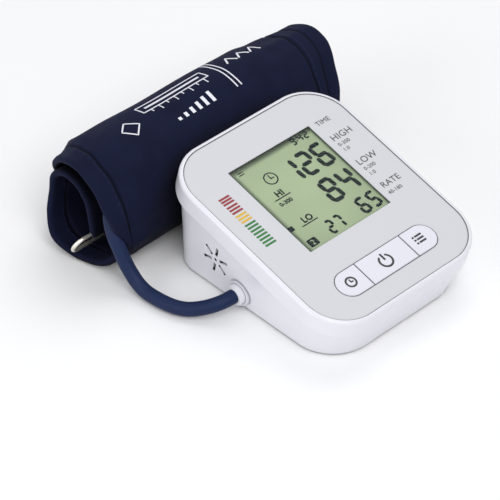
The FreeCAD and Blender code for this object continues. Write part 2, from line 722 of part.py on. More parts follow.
on_face(group("switch_set", switch_bodies), "switch_bodies")

CHIPS = [
    ("main", "dims.chip_side", "dims.chip_side", "dims.chip_u", "-dims.chip_u"),
    ("memory", "dims.small_chip", "dims.small_chip", "dims.chip_side + 2 * dims.chip_u", "-dims.chip_u / 2"),
    ("driver", "dims.small_chip", "dims.small_chip", "-dims.chip_side", "dims.chip_side"),
]
chips = []
for name, width, length, u, v in CHIPS:
    chips.append(
        middle_box(
            f"chip_{name}",
            (width, length, "dims.chip_thick"),
            (u, v),
            f"-{BOARD_LOW} - dims.chip_thick",
        )
    )
on_face(group("chip_set", chips), "board_chips")

# Buttons: cap, retaining flange and a post that stands on the switch.
CAP_HIGH = f"({FLANGE_TOP} + dims.button_proud)"
POST_LENGTH = f"(-{FLANGE_TOP} - dims.button_flange_thick - {PLUNGER_TOP})"


def side_profile(sketch, sign, inner, outer, half_high):
    """Half of a stadium: straight inner edge, round outer end."""
    r = size(half_high)
    x0 = sign * size(inner)
    x1 = sign * (size(outer) - r)
    top = sketch.addGeometry(Part.LineSegment(Vector(x0, r, 0), Vector(x1, r, 0)))
    turn = Part.Circle(Vector(x1, 0, 0), Vector(0, 0, 1), r)
    quarter = math.pi / 2
    span = (-quarter, quarter) if sign > 0 else (quarter, 3 * quarter)
    end = sketch.addGeometry(Part.ArcOfCircle(turn, *span))
    low = sketch.addGeometry(Part.LineSegment(Vector(x1, -r, 0), Vector(x0, -r, 0)))
    edge = sketch.addGeometry(Part.LineSegment(Vector(x0, -r, 0), Vector(x0, r, 0)))
    if sign > 0:
        sketch.addConstraint(Sketcher.Constraint("Tangent", top, 2, end, 2))
        sketch.addConstraint(Sketcher.Constraint("Tangent", end, 1, low, 1))
    else:
        sketch.addConstraint(Sketcher.Constraint("Tangent", top, 2, end, 1))
        sketch.addConstraint(Sketcher.Constraint("Tangent", end, 2, low, 1))
    sketch.addConstraint(Sketcher.Constraint("Coincident", low, 2, edge, 1))
    sketch.addConstraint(Sketcher.Constraint("Coincident", edge, 2, top, 1))
    sketch.addConstraint(Sketcher.Constraint("Vertical", edge))
    sketch.addConstraint(Sketcher.Constraint("Horizontal", top))
    sketch.addConstraint(Sketcher.Constraint("PointOnObject", end, 3, -1))
    dimension(sketch, "half_high", Sketcher.Constraint("Radius", end, r), half_high)
    if sign > 0:
        near = Sketcher.Constraint("DistanceX", -1, 1, edge, 1, abs(x0))
        far = Sketcher.Constraint("DistanceX", -1, 1, end, 3, abs(x1))
    else:
        near = Sketcher.Constraint("DistanceX", edge, 1, -1, 1, abs(x0))
        far = Sketcher.Constraint("DistanceX", end, 3, -1, 1, abs(x1))
    dimension(sketch, "inner", near, inner)
    dimension(sketch, "outer", far, f"{outer} - ({half_high})")
    return sketch


CAP_HALF_HIGH = "(dims.button_height / 2 - dims.button_gap)"
CAP_END = "(dims.button_length / 2 - dims.button_gap)"
FLANGE_HALF_HIGH = "(dims.button_height / 2 + dims.button_flange)"
FLANGE_END = "(dims.button_length / 2 + dims.button_flange)"
SIDE_INNER = "(dims.button_half_middle + dims.button_gap / 2)"
MIDDLE_HALF = "(dims.button_half_middle - dims.button_gap / 2)"


def button(name, sign, switch_u):
    """One button with flange and post, in the face frame."""
    body = new_body(f"{name}_button_body")
    cap = sketch_on(body, f"{name}_cap", ("0", BUTTON_V, f"-{FLANGE_TOP}"))
    if sign:
        side_profile(cap, sign, SIDE_INNER, CAP_END, CAP_HALF_HIGH)
    else:
        rectangle(cap, f"2 * {MIDDLE_HALF}", f"2 * {CAP_HALF_HIGH}", "0.3")
    cap_pad = pad(body, cap, CAP_HIGH)
    round_edges(body, cap_pad, "dims.button_proud", "dims.button_edge")
    flange = sketch_on(body, f"{name}_flange", ("0", BUTTON_V, f"-{FLANGE_TOP}"))
    if sign:
        side_profile(flange, sign, SIDE_INNER, FLANGE_END, FLANGE_HALF_HIGH)
    else:
        rectangle(flange, f"2 * {MIDDLE_HALF}", f"2 * {FLANGE_HALF_HIGH}", "0.3")
    pad(body, flange, "dims.button_flange_thick", down=True)
    post = sketch_on(
        body, f"{name}_post", (switch_u, BUTTON_V, f"-{FLANGE_TOP} - dims.button_flange_thick")
    )
    circle(post, "dims.button_post_radius")
    pad(body, post, POST_LENGTH, down=True)
    on_face(body, f"{name}_button")


button("set", -1, "-dims.side_switch_u")
button("power", 0, "0")
button("memory", 1, "dims.side_switch_u")

# Lower case: a lofted tub from the tilted parting line to the flat underside.
PARTING_Y = f"({FACE_Y} + dims.slab_depth * sin(dims.face_tilt))"
PARTING_Z = f"({FACE_Z} - dims.slab_depth * cos(dims.face_tilt))"


def tub(label, inset, bottom, steps):
    """The lower case outline as a loft, inset by a wall, down to a height in steps."""
    body = new_body(label)
    top = sketch_on(body, label + "_top", ("0", PARTING_Y, PARTING_Z), lean="dims.face_tilt")
    outline(
        top,
        f"({CASE_HALF} - dims.lip_front - {inset})",
        f"({CASE_HALF} - dims.lip_side_back - {inset})",
        f"({CASE_END} - dims.lip_front - {inset})",
        f"({CASE_END} - dims.lip_back - {inset})",
        f"(dims.front_corner - {inset})",
        f"(dims.back_corner + 3 - {inset})",
    )
    span = f"({BASE_BACK} - dims.base_front)"
    sections = []
    for number, (rise, tuck) in enumerate(steps):
        edge = f"({inset} + {tuck})"
        low = sketch_on(
            body,
            f"{label}_low_{number}",
            ("0", f"dims.base_front + {span} / 2", f"{bottom} + {rise}"),
        )
        half = f"(dims.base_width / 2 - {edge})"
        end = f"({span} / 2 - {edge})"
        outline(low, half, half, end, end, f"(dims.front_corner - {edge})", f"(dims.back_corner - {edge})")
        sections.append(low)
    loft = body.newObject("PartDesign::AdditiveLoft", label + "_loft")
    loft.Profile = sections[0]
    loft.Sections = sections[1:] + [top]
    loft.Ruled = True
    doc.recompute()
    return body


# The rounded lower edge is three lofted steps of a quarter circle.
ROUNDED = [
    ("0", "dims.base_round"),
    ("dims.base_round * 0.134", "dims.base_round * 0.5"),
    ("dims.base_round * 0.5", "dims.base_round * 0.134"),
    ("dims.base_round", "0"),
]
tub_outer = tub("lower_form", "0", "dims.foot_proud", ROUNDED)
tub_inner = tub("lower_core", "dims.case_wall", FLOOR_TOP, [("0", "0")])

shell = cut("lower_shell", tub_outer, tub_inner)
additions = []
holes = []
for corner, x, y, seat, top in CORNERS:
    additions.append(
        rod(f"boss_{corner}", "dims.boss_radius", f"{seat} - dims.foot_proud", (x, y, "dims.foot_proud"))
    )
    holes.append(
        rod(
            f"tunnel_{corner}",
            "dims.screw_head_radius + dims.head_gap",
            f"{seat} - dims.seat_web - dims.foot_proud",
            (x, y, "dims.foot_proud"),
        )
    )
    holes.append(
        rod(
            f"screw_hole_{corner}",
            "dims.screw_radius + 0.2",
            "dims.seat_web",
            (x, y, f"{seat} - dims.seat_web"),
        )
    )
additions.append(
    box(
        "bay_block",
        (
            f"2 * ({BAY_HALF} + dims.bay_wall)",
            f"{BAY_LENGTH} + 2 * dims.bay_wall",
            f"{BAY_TOP} + dims.bay_wall - dims.foot_proud",
        ),
        (f"-{BAY_HALF} - dims.bay_wall", f"{BAY_FRONT} - dims.bay_wall", "dims.foot_proud"),
    )
)
holes.append(
    box(
        "bay_space",
        (f"2 * {BAY_HALF}", BAY_LENGTH, f"{BAY_TOP} - dims.foot_proud"),
        (f"-{BAY_HALF}", BAY_FRONT, "dims.foot_proud"),
    )
)
for side, sign in (("left", "-1"), ("right", "1")):
    holes.append(
        middle_box(
            f"hook_slot_{side}",
            (
                "dims.door_tab_width + 2 * dims.door_gap",
                "2 * (dims.door_tab_reach + dims.door_gap)",
                "dims.door_tab_thick + dims.door_tab_reach + dims.door_gap",
            ),
            (f"{sign} * dims.cell_pitch", BAY_BACK),
            FLOOR_TOP,
        )
    )
CRADLES = [
    ("head", "dims.pump_left + dims.head_length / 2", "dims.head_radius"),
    ("motor", "dims.pump_left + dims.head_length + dims.motor_length * 0.75", "dims.motor_radius"),
]
for number, x, radius in CRADLES:
    rib = middle_box(
        f"cradle_{number}",
        ("dims.cradle_thick", "2 * dims.head_radius + 3", "dims.pump_z - 2"),
        (x, PUMP_Y),
        "1",
    )
    seat_cut = rod(
        f"cradle_cut_{number}",
        f"{radius} + dims.fit_gap",
        "dims.cradle_thick",
        (f"{x} - dims.cradle_thick / 2", PUMP_Y, "dims.pump_z"),
        "x",
    )
    additions.append(cut(f"cradle_rib_{number}", rib, seat_cut))
additions.append(
    rod(
        "manifold_post",
        "2.4",
        "dims.port_z - dims.manifold_half - 1",
        ("dims.manifold_x", PORT, "1"),
    )
)
additions.append(
    box(
        "valve_pad",
        (
            "2 * dims.valve_half_width",
            f"{VALVE_BACK} - {VALVE_FRONT} - 2 * dims.yoke_end",
            "dims.port_z - dims.valve_half_high - 1",
        ),
        ("dims.manifold_x - dims.valve_half_width", f"{VALVE_FRONT} + dims.yoke_end", "1"),
    )
)
for number, shift in (("front", "-1"), ("back", "1")):
    additions.append(
        rod(
            f"usb_post_{number}",
            "dims.usb_post_radius",
            "dims.usb_board_z - 1",
            (
                "(dims.usb_board_left + dims.usb_board_right) / 2",
                f"{USB_Y} + {shift} * (dims.usb_board_width / 2 - dims.usb_post_radius)",
                "1",
            ),
        )
    )
seat_ring = rod(
    "speaker_seat",
    "dims.speaker_radius + dims.seat_ring_wall / 2",
    "12",
    ("-dims.speaker_face_x - 12", SPEAKER_Y, "dims.speaker_z"),
    "x",
)
seat_bore = rod(
    "speaker_seat_bore",
    "dims.speaker_radius - dims.seat_ring_wall / 2",
    "4.6",
    ("-dims.speaker_face_x - 3.2", SPEAKER_Y, "dims.speaker_z"),
    "x",
)
additions.append(seat_ring)
holes.append(seat_bore)
for number in range(6):
    angle = 45 + 60 * number
    slot = box(
        f"sound_slot_{number}",
        ("14", "dims.slot_outer - dims.slot_inner", "dims.slot_width"),
        ("0", "0", "0"),
    )
    slot.Placement = Placement(Vector(), Rotation(Vector(1, 0, 0), angle))
    move(
        slot,
        (
            "-dims.speaker_face_x - 13",
            f"{SPEAKER_Y} + dims.slot_inner * cos({angle}) + dims.slot_width / 2 * sin({angle})",
            f"dims.speaker_z + dims.slot_inner * sin({angle}) - dims.slot_width / 2 * cos({angle})",
        ),
    )
    holes.append(slot)
holes.append(
    rod(
        "sound_hole",
        "dims.slot_width / 2",
        "14",
        ("-dims.speaker_face_x - 13", SPEAKER_Y, "dims.speaker_z"),
        "x",
    )
)
SOCKET_INNER = "(-dims.port_boss_x + dims.socket_length)"
holes.append(
    rod(
        "socket_hole",
        "dims.socket_radius + dims.fit_gap",
        "12",
        ("-dims.port_boss_x - 2", PORT, "dims.port_z"),
        "x",
    )
)
USB_Z = "(dims.usb_board_z + dims.usb_board_thick)"
holes.append(
    middle_box(
        "usb_hole",
        ("10", "dims.usb_width + 1", "dims.usb_high + 1"),
        ("dims.usb_face_x", USB_Y),
        f"{USB_Z} - 0.5",
    )
)
FEET = [
    ("front_left", "-dims.foot_x", FOOT_FRONT),
    ("front_right", "dims.foot_x", FOOT_FRONT),
    ("back_left", "-dims.foot_x", FOOT_BACK),
    ("back_right", "dims.foot_x", FOOT_BACK),
]
feet = []
for corner, x, y in FEET:
    holes.append(
        rod(
            f"foot_recess_{corner}",
            "dims.foot_radius + dims.fit_gap",
            "dims.foot_thick - dims.foot_proud",
            (x, y, "dims.foot_proud"),
        )
    )
    feet.append(rod(f"foot_{corner}", "dims.foot_radius", "dims.foot_thick", (x, y, "0")))
inside = shared("lower_inside", fuse("lower_additions", *additions), tub_outer)
port_ring = rod(
    "port_ring",
    "dims.port_boss_radius",
    "4",
    ("-dims.port_boss_x", PORT, "dims.port_z"),
    "x",
)
lower_full = fuse("lower_with_bosses", shell, inside, port_ring)
in_monitor(cut("lower_cut", lower_full, *holes), "lower_case")
in_monitor(group("foot_set", feet), "rubber_feet")

case_screws = []
for corner, x, y, seat, top in CORNERS:
    shank = rod(
        f"case_shank_{corner}",
        "dims.screw_radius",
        "dims.seat_web + dims.screw_bite",
        (x, y, f"{seat} - dims.seat_web"),
    )
    head = rod(
        f"case_head_{corner}",
        "dims.screw_head_radius",
        "dims.screw_head_high",
        (x, y, f"{seat} - dims.seat_web - dims.screw_head_high"),
    )
    drive = middle_box(
        f"case_drive_{corner}",
        ("3.4", "0.8", "1"),
        (x, y),
        f"{seat} - dims.seat_web - dims.screw_head_high",
    )
    cross = middle_box(
        f"case_cross_{corner}",
        ("0.8", "3.4", "1"),
        (x, y),
        f"{seat} - dims.seat_web - dims.screw_head_high",
    )
    case_screws.append(cut(f"case_screw_{corner}", fuse(f"case_bolt_{corner}", shank, head), drive, cross))
in_monitor(group("case_screw_set", case_screws), "case_screws")

# Battery bay: four AAA cells head to tail, contacts and the hooked door.
cells = []
contacts = []
for number in range(4):
    x = f"(dims.cell_pitch * {number - 1.5})"
    forward = number % 2 == 0
    body_start = f"{BAY_FRONT} + dims.contact_room" + ("" if forward else " + dims.cell_nub")
    nub_start = f"{body_start} + dims.cell_length" if forward else f"{BAY_FRONT} + dims.contact_room"
    can = rod(f"cell_can_{number}", "dims.cell_radius", "dims.cell_length", (x, body_start, CELL_Z), "y")
    nub = rod(f"cell_nub_{number}", "dims.cell_nub_radius", "dims.cell_nub", (x, nub_start, CELL_Z), "y")
    cells.append(fuse(f"cell_{number}", can, nub))
    for end, start in (("front", BAY_FRONT), ("back", f"{BAY_BACK} - dims.contact_plate")):
        leaf = box(
            f"contact_plate_{end}_{number}",
            ("dims.contact_side", "dims.contact_plate", "dims.contact_side"),
            (f"{x} - dims.contact_side / 2", start, f"{CELL_Z} - dims.contact_side / 2"),
        )
        stud_start = BAY_FRONT if end == "front" else f"{BAY_BACK} - dims.contact_room"
        stud = rod(
            f"contact_stud_{end}_{number}",
            "dims.contact_stud",
            "dims.contact_room",
            (x, stud_start, CELL_Z),
            "y",
        )
        contacts.append(fuse(f"contact_{end}_{number}", leaf, stud))
in_monitor(group("cell_set", cells), "battery_cells")
in_monitor(group("contact_set", contacts), "battery_contacts")

DOOR_BACK = f"({BAY_BACK} - dims.door_gap)"
door_panel = box(
    "door_panel",
    (f"2 * ({BAY_HALF} - dims.door_gap)", f"{BAY_LENGTH} - 2 * dims.door_gap", "dims.floor_thick"),
    (f"-{BAY_HALF} + dims.door_gap", f"{BAY_FRONT} + dims.door_gap", "dims.foot_proud"),
)
door_parts = [door_panel]
for side, sign in (("left", "-1"), ("right", "1")):
    door_parts.append(
        middle_box(
            f"door_hook_{side}",
            ("dims.door_tab_width", "2 * dims.door_tab_reach", "dims.door_tab_thick"),
            (f"{sign} * dims.cell_pitch", DOOR_BACK),
            FLOOR_TOP,
        )
    )
door_parts.append(
    middle_box(
        "door_latch",
        ("9", "1.2", "1"),
        ("0", f"{BAY_FRONT} + dims.door_gap + 0.6"),
        FLOOR_TOP,
    )
)
door_grip = rod(
    "door_grip",
    "9",
    "1",
    ("0", f"{BAY_FRONT} + 2", "dims.foot_proud"),
)
in_monitor(cut("door_cut", fuse("door_blank", *door_parts), door_grip), "battery_door")

# Air side: socket, manifold, tubes, pump, valve and pressure sensor.
socket_body = rod(
    "socket_body",
    "dims.socket_radius",
    "dims.socket_length",
    ("-dims.port_boss_x", PORT, "dims.port_z"),
    "x",
)
socket_bore = rod(
    "socket_bore",
    "dims.socket_bore",
    "dims.socket_depth",
    ("-dims.port_boss_x", PORT, "dims.port_z"),
    "x",
)
socket_spigot = rod(
    "socket_spigot",
    "dims.spigot_radius",
    "dims.spigot_length",
    (SOCKET_INNER, PORT, "dims.port_z"),
    "x",
)
socket_way = rod(
    "socket_way",
    "1",
    "dims.socket_length + dims.spigot_length",
    ("-dims.port_boss_x", PORT, "dims.port_z"),
    "x",
)
socket_blank = fuse("socket_blank", socket_body, socket_spigot)
in_monitor(cut("socket_cut", socket_blank, socket_bore, socket_way), "air_socket")

manifold_block = middle_box(
    "manifold_block",
    ("2 * dims.manifold_half", "2 * dims.manifold_half", "2 * dims.manifold_half"),
    ("dims.manifold_x", PORT),
    "dims.port_z - dims.manifold_half",
)
MANIFOLD_LEFT = "(dims.manifold_x - dims.manifold_half)"
MANIFOLD_FRONT = f"({PORT} - dims.manifold_half)"
MANIFOLD_BACK = f"({PORT} + dims.manifold_half)"
manifold_spigots = [
    rod(
        "manifold_to_socket",
        "dims.spigot_radius",
        "dims.spigot_length",
        (f"{MANIFOLD_LEFT} - dims.spigot_length", PORT, "dims.port_z"),
        "x",
    ),
    rod(
        "manifold_to_valve",
        "dims.spigot_radius",
        "dims.spigot_length",
        ("dims.manifold_x", f"{MANIFOLD_FRONT} - dims.spigot_length", "dims.port_z"),
        "y",
    ),
    rod(
        "manifold_to_pump",
        "dims.spigot_radius",
        "dims.spigot_length",
        ("dims.manifold_x", MANIFOLD_BACK, "dims.port_z"),
        "y",
    ),
]
lift = rod(
    "manifold_to_sensor",
    "dims.spigot_radius",
    "dims.manifold_half + dims.spigot_length + dims.tube_shy",
    ("0", "0", "0"),
)
lift.Placement = Placement(Vector(), Rotation(Vector(1, 0, 0), 10))
bind(lift, "Placement.Rotation.Angle", "dims.face_tilt")
move(lift, ("dims.manifold_x", PORT, "dims.port_z"))
in_monitor(fuse("manifold_whole", manifold_block, *manifold_spigots, lift), "air_manifold")

TUBE_OUT = "(dims.spigot_radius + dims.tube_wall)"
TUBE_IN = "(dims.spigot_radius + dims.screw_gap)"


def straight_tube(label, length, start, axis):
    """A straight piece of air tube over two spigots."""
    skin = rod(label + "_skin", TUBE_OUT, length, start, axis)
    bore = rod(label + "_bore", TUBE_IN, length, start, axis)
    return cut(label + "_cut", skin, bore)


in_monitor(
    straight_tube(
        "socket_tube",
        f"{MANIFOLD_LEFT} - {SOCKET_INNER} - 2 * dims.tube_gap",
        (f"{SOCKET_INNER} + dims.tube_gap", PORT, "dims.port_z"),
        "x",
    ),
    "socket_tube",
)
in_monitor(
    straight_tube(
        "valve_tube",
        f"{MANIFOLD_FRONT} - {VALVE_BACK} - 2 * dims.tube_gap",
        ("dims.manifold_x", f"{VALVE_BACK} + dims.tube_gap", "dims.port_z"),
        "y",
    ),
    "valve_tube",
)
valve_yoke = box(
    "valve_yoke",
    ("2 * dims.valve_half_width", f"{VALVE_BACK} - {VALVE_FRONT}", "2 * dims.valve_half_high"),
    ("dims.manifold_x - dims.valve_half_width", VALVE_FRONT, "dims.port_z - dims.valve_half_high"),
)
valve_spigot = rod(
    "valve_spigot",
    "dims.spigot_radius",
    "dims.spigot_length",
    ("dims.manifold_x", VALVE_BACK, "dims.port_z"),
    "y",
)
valve_window = box(
    "valve_window",
    (
        "2 * dims.valve_half_width",
        f"{VALVE_BACK} - {VALVE_FRONT} - 2 * dims.yoke_end",
        "2 * (dims.valve_half_high - dims.yoke_wall)",
    ),
    (
        "dims.manifold_x - dims.valve_half_width",
        f"{VALVE_FRONT} + dims.yoke_end",
        "dims.port_z - dims.valve_half_high + dims.yoke_wall",
    ),
)
valve_core = rod(
    "valve_core",
    "dims.core_radius",
    f"{VALVE_BACK} - {VALVE_FRONT} - dims.yoke_end",
    ("dims.manifold_x", f"{VALVE_FRONT} + dims.yoke_end / 2", "dims.port_z"),
    "y",
)
valve_frame = cut("valve_frame", valve_yoke, valve_window)
in_monitor(fuse("valve_whole", valve_frame, valve_spigot, valve_core), "release_valve")
COIL_LENGTH = f"({VALVE_BACK} - {VALVE_FRONT} - 2 * (dims.yoke_end + dims.fit_gap))"
valve_winding = rod(
    "valve_winding",
    "dims.valve_half_width - dims.fit_gap",
    COIL_LENGTH,
    ("dims.manifold_x", f"{VALVE_FRONT} + dims.yoke_end + dims.fit_gap", "dims.port_z"),
    "y",
)
valve_winding_bore = rod(
    "valve_winding_bore",
    "dims.core_radius + dims.screw_gap",
    COIL_LENGTH,
    ("dims.manifold_x", f"{VALVE_FRONT} + dims.yoke_end + dims.fit_gap", "dims.port_z"),
    "y",
)
in_monitor(cut("valve_coil_cut", valve_winding, valve_winding_bore), "valve_coil")

head_drum = rod(
    "head_drum",
    "dims.head_radius",
    "dims.head_length",
    ("dims.pump_left", PUMP_Y, "dims.pump_z"),
    "x",
)
head_spigot = rod(
    "head_spigot",
    "dims.spigot_radius",
    "dims.spigot_length",
    ("dims.pump_left - dims.spigot_length", PUMP_OUTLET, "dims.port_z"),
    "x",
)
in_monitor(fuse("head_whole", head_drum, head_spigot), "pump_head")
MOTOR_LEFT = "(dims.pump_left + dims.head_length)"
motor_can = rod(
    "motor_can",
    "dims.motor_radius",
    "dims.motor_length",
    (MOTOR_LEFT, PUMP_Y, "dims.pump_z"),
    "x",
)
motor_nose = rod(
    "motor_nose",
    "3.5",
    "1.6",
    (f"{MOTOR_LEFT} + dims.motor_length", PUMP_Y, "dims.pump_z"),
    "x",
)
in_monitor(fuse("motor_whole", motor_can, motor_nose), "pump_motor")


def swept(label, points, radius, bore=0):
    """A round tube along straight runs joined by tangent arcs."""
    spots = [Vector(*point) for point in points]
    edges = []
    start = spots[0]
    radii = []
    for before, corner, after in zip(spots, spots[1:], spots[2:]):
        back = before - corner
        ahead = after - corner
        turn = math.pi - back.getAngle(ahead)
        reach = 0.45 * min(back.Length, ahead.Length)
        radii.append(reach / math.tan(turn / 2))
        first = corner + back.normalize() * reach
        last = corner + ahead.normalize() * reach
        toward = (back + ahead).normalize()
        middle = corner + toward * (radii[-1] / math.cos(turn / 2) - radii[-1])
        edges.append(Part.LineSegment(start, first).toShape())
        edges.append(Part.Arc(first, middle, last).toShape())
        start = last
    edges.append(Part.LineSegment(start, spots[-1]).toShape())
    path = Part.Wire(edges)
    along = spots[1] - spots[0]

    def pipe(r):
        ring = Part.Wire(Part.Circle(spots[0], along, r).toShape())
        return path.makePipeShell([ring], True, True)

    shape = pipe(radius)
    if bore:
        shape = shape.cut(pipe(bore))
    item = doc.addObject("Part::Feature", label)
    item.Shape = shape
    section = math.pi * (radius ** 2 - bore ** 2)
    print(
        label,
        "length", round(path.Length, 2),
        "volume ratio", round(shape.Volume / (section * path.Length), 4),
        "radii", [round(r, 1) for r in radii],
    )
    return item


tube_start = size(f"{MANIFOLD_BACK} + dims.tube_gap")
tube_end = size("dims.pump_left - dims.tube_gap")
corner_x = size("dims.manifold_x")
pump_tube = swept(
    "pump_tube_sweep",
    [
        (corner_x, tube_start, size("dims.port_z")),
        (corner_x, size(PUMP_OUTLET), size("dims.port_z")),
        (tube_end, size(PUMP_OUTLET), size("dims.port_z")),
    ],
    size(TUBE_OUT),
    size(TUBE_IN),
)
in_monitor(pump_tube, "pump_tube")

# Pressure sensor under the board, straight above the manifold along the face normal.
SENSOR_V = (
    f"(({PORT} - {FACE_Y}) * cos(dims.face_tilt) + (dims.port_z - {FACE_Z}) * sin(dims.face_tilt))"
)
MANIFOLD_H = (
    f"(-({PORT} - {FACE_Y}) * sin(dims.face_tilt) + (dims.port_z - {FACE_Z}) * cos(dims.face_tilt))"
)
sensor_block = middle_box(
    "sensor_block",
    ("dims.sensor_side", "dims.sensor_side", "dims.sensor_high"),
    ("dims.manifold_x", SENSOR_V),
    f"-{BOARD_LOW} - dims.sensor_high",
)
sensor_spigot = rod(
    "sensor_spigot",
    "dims.spigot_radius",
    "dims.spigot_length",
    ("dims.manifold_x", SENSOR_V, f"-{BOARD_LOW} - dims.sensor_high - dims.spigot_length"),
)
on_face(fuse("sensor_whole", sensor_block, sensor_spigot), "pressure_sensor")
TUBE_LOW = f"({MANIFOLD_H} + dims.manifold_half + dims.tube_shy + dims.tube_gap)"
on_face(
    straight_tube(
        "sensor_tube",
        f"-{BOARD_LOW} - dims.sensor_high - dims.tube_gap - {TUBE_LOW}",
        ("dims.manifold_x", SENSOR_V, TUBE_LOW),
        "z",
    ),
    "sensor_tube",
)

# Speaker behind the sound slots of the left wall.
basket = rod(
    "speaker_basket",
    "dims.speaker_radius",
    "dims.speaker_thick",
    ("-dims.speaker_face_x", SPEAKER_Y, "dims.speaker_z"),
    "x",
)
basket_hollow = rod(
    "speaker_hollow",
    "dims.speaker_radius - 1.2",
    "dims.speaker_thick - 1",
    ("-dims.speaker_face_x", SPEAKER_Y, "dims.speaker_z"),
    "x",
)
magnet = rod(
    "speaker_magnet",
    "dims.magnet_radius",
    "dims.magnet_thick",
    ("-dims.speaker_face_x + dims.speaker_thick", SPEAKER_Y, "dims.speaker_z"),
    "x",
)
in_monitor(fuse("speaker_whole", cut("speaker_cup", basket, basket_hollow), magnet), "speaker")
cone = rod(
    "speaker_cone",
    "dims.speaker_radius - 1.3",
    "0.5",
    ("-dims.speaker_face_x + 1", SPEAKER_Y, "dims.speaker_z"),
    "x",
)
in_monitor(cone, "speaker_cone", ("-dims.speaker_face_x + 1", SPEAKER_Y, "dims.speaker_z"))

# Power socket in the right wall on its own small board.
usb_board = box(
    "usb_board",
    ("dims.usb_board_right - dims.usb_board_left", "dims.usb_board_width", "dims.usb_board_thick"),
    ("0", "0", "0"),
)
in_monitor(
    usb_board,
    "socket_board",
    ("dims.usb_board_left", f"{USB_Y} - dims.usb_board_width / 2", "dims.usb_board_z"),
)
usb_shell = box(
    "usb_shell",
    ("dims.usb_depth", "dims.usb_width", "dims.usb_high"),
    ("dims.usb_face_x - dims.usb_depth", f"{USB_Y} - dims.usb_width / 2", USB_Z),
)
usb_mouth = box(
    "usb_mouth",
    ("dims.usb_depth - 0.6", "dims.usb_width - 2 * dims.usb_wall", "dims.usb_high - 2 * dims.usb_wall"),
    (
        "dims.usb_face_x - dims.usb_depth + 0.6",
        f"{USB_Y} - dims.usb_width / 2 + dims.usb_wall",
        f"{USB_Z} + dims.usb_wall",
    ),
)
usb_tongue = box(
    "usb_tongue",
    ("dims.usb_depth - dims.tongue_short", "dims.usb_width - 2 * dims.tongue_in", "dims.tongue_thick"),
    (
        "dims.usb_face_x - dims.usb_depth",
        f"{USB_Y} - dims.usb_width / 2 + dims.tongue_in",
        f"{USB_Z} + (dims.usb_high - dims.tongue_thick) / 2",
    ),
)
in_monitor(fuse("usb_whole", cut("usb_cup", usb_shell, usb_mouth), usb_tongue), "power_socket")

# Cuff: one strip swept along its roll, with the bladder in a pocket of it.


def roll_path(sketch, steps):
    """A chain of lines and left-hand half turns in the y-z plane, each tangent to the one before."""
    previous = None
    for kind, a, b, c in steps:
        if kind == "line":
            number = sketch.addGeometry(Part.LineSegment(Vector(*a), Vector(*b)))
        else:
            turn = Part.Circle(Vector(*a), Vector(0, 0, 1), b)
            number = sketch.addGeometry(Part.ArcOfCircle(turn, *c))
        if previous is not None:
            sketch.addConstraint(Sketcher.Constraint("Tangent", previous, 2, number, 1))
        previous = number
    return sketch


def strip(label, thick, width, whole):
    """The strip of the cuff, or the part of it that holds the bladder, as a swept body."""
    body = new_body(label)
    path = sketch_on(body, label + "_path", base="YZ_Plane")
    outer, low = size(OUTER_BEND), size(LOW_BEND)
    top_z, low_z = size(TOP_BEND_Z), size(LOW_BEND_Z)
    inner = size("dims.loop_radius")
    back, front = size(INNER_BACK), size(INNER_FRONT)
    loop_z, tail, end_z = size("dims.loop_top"), size("dims.tail_low"), size("dims.ring_z")
    half = math.pi
    start_z = tail if whole else top_z - 3
    steps = [
        ("line", (outer, start_z, 0), (outer, top_z, 0), None),
        ("left", (0, top_z, 0), outer, (0, half)),
        ("line", (-outer, top_z, 0), (-outer, low_z, 0), None),
        ("left", (low - outer, low_z, 0), low, (half, 2 * half if whole else 1.8 * half)),
    ]
    if whole:
        steps += [
            ("line", (back, low_z, 0), (back, loop_z, 0), None),
            ("left", (back - inner, loop_z, 0), inner, (0, half)),
            ("line", (front, loop_z, 0), (front, end_z, 0), None),
        ]
    roll_path(path, steps)
    path.addConstraint(Sketcher.Constraint("Vertical", 0))
    path.addConstraint(Sketcher.Constraint("Vertical", 2))
    path.addConstraint(Sketcher.Constraint("PointOnObject", 1, 3, -2))
    dimension(path, "outer_bend", Sketcher.Constraint("Radius", 1, outer), OUTER_BEND)
    dimension(path, "low_bend", Sketcher.Constraint("Radius", 3, low), LOW_BEND)
    dimension(path, "top_z", Sketcher.Constraint("DistanceY", -1, 1, 1, 3, top_z), TOP_BEND_Z)
    dimension(path, "low_z", Sketcher.Constraint("DistanceY", -1, 1, 3, 3, low_z), LOW_BEND_Z)
    start_expression = "dims.tail_low" if whole else f"{TOP_BEND_Z} - 3"
    dimension(path, "tail", Sketcher.Constraint("DistanceY", -1, 1, 0, 1, start_z), start_expression)
    if whole:
        path.addConstraint(Sketcher.Constraint("Vertical", 4))
        path.addConstraint(Sketcher.Constraint("Vertical", 6))
        dimension(path, "loop_bend", Sketcher.Constraint("Radius", 5, inner), "dims.loop_radius")
        dimension(path, "loop_z", Sketcher.Constraint("DistanceY", -1, 1, 5, 3, loop_z), "dims.loop_top")
        dimension(path, "end_z", Sketcher.Constraint("DistanceY", -1, 1, 6, 2, end_z), "dims.ring_z")
    profile = sketch_on(body, label + "_profile", ("0", OUTER_BEND, start_expression))
    rectangle(profile, width, thick, f"({thick}) / 4")
    pipe = body.newObject("PartDesign::AdditivePipe", label + "_pipe")
    pipe.Profile = profile
    pipe.Spine = (path, [])
    doc.recompute()
    return body


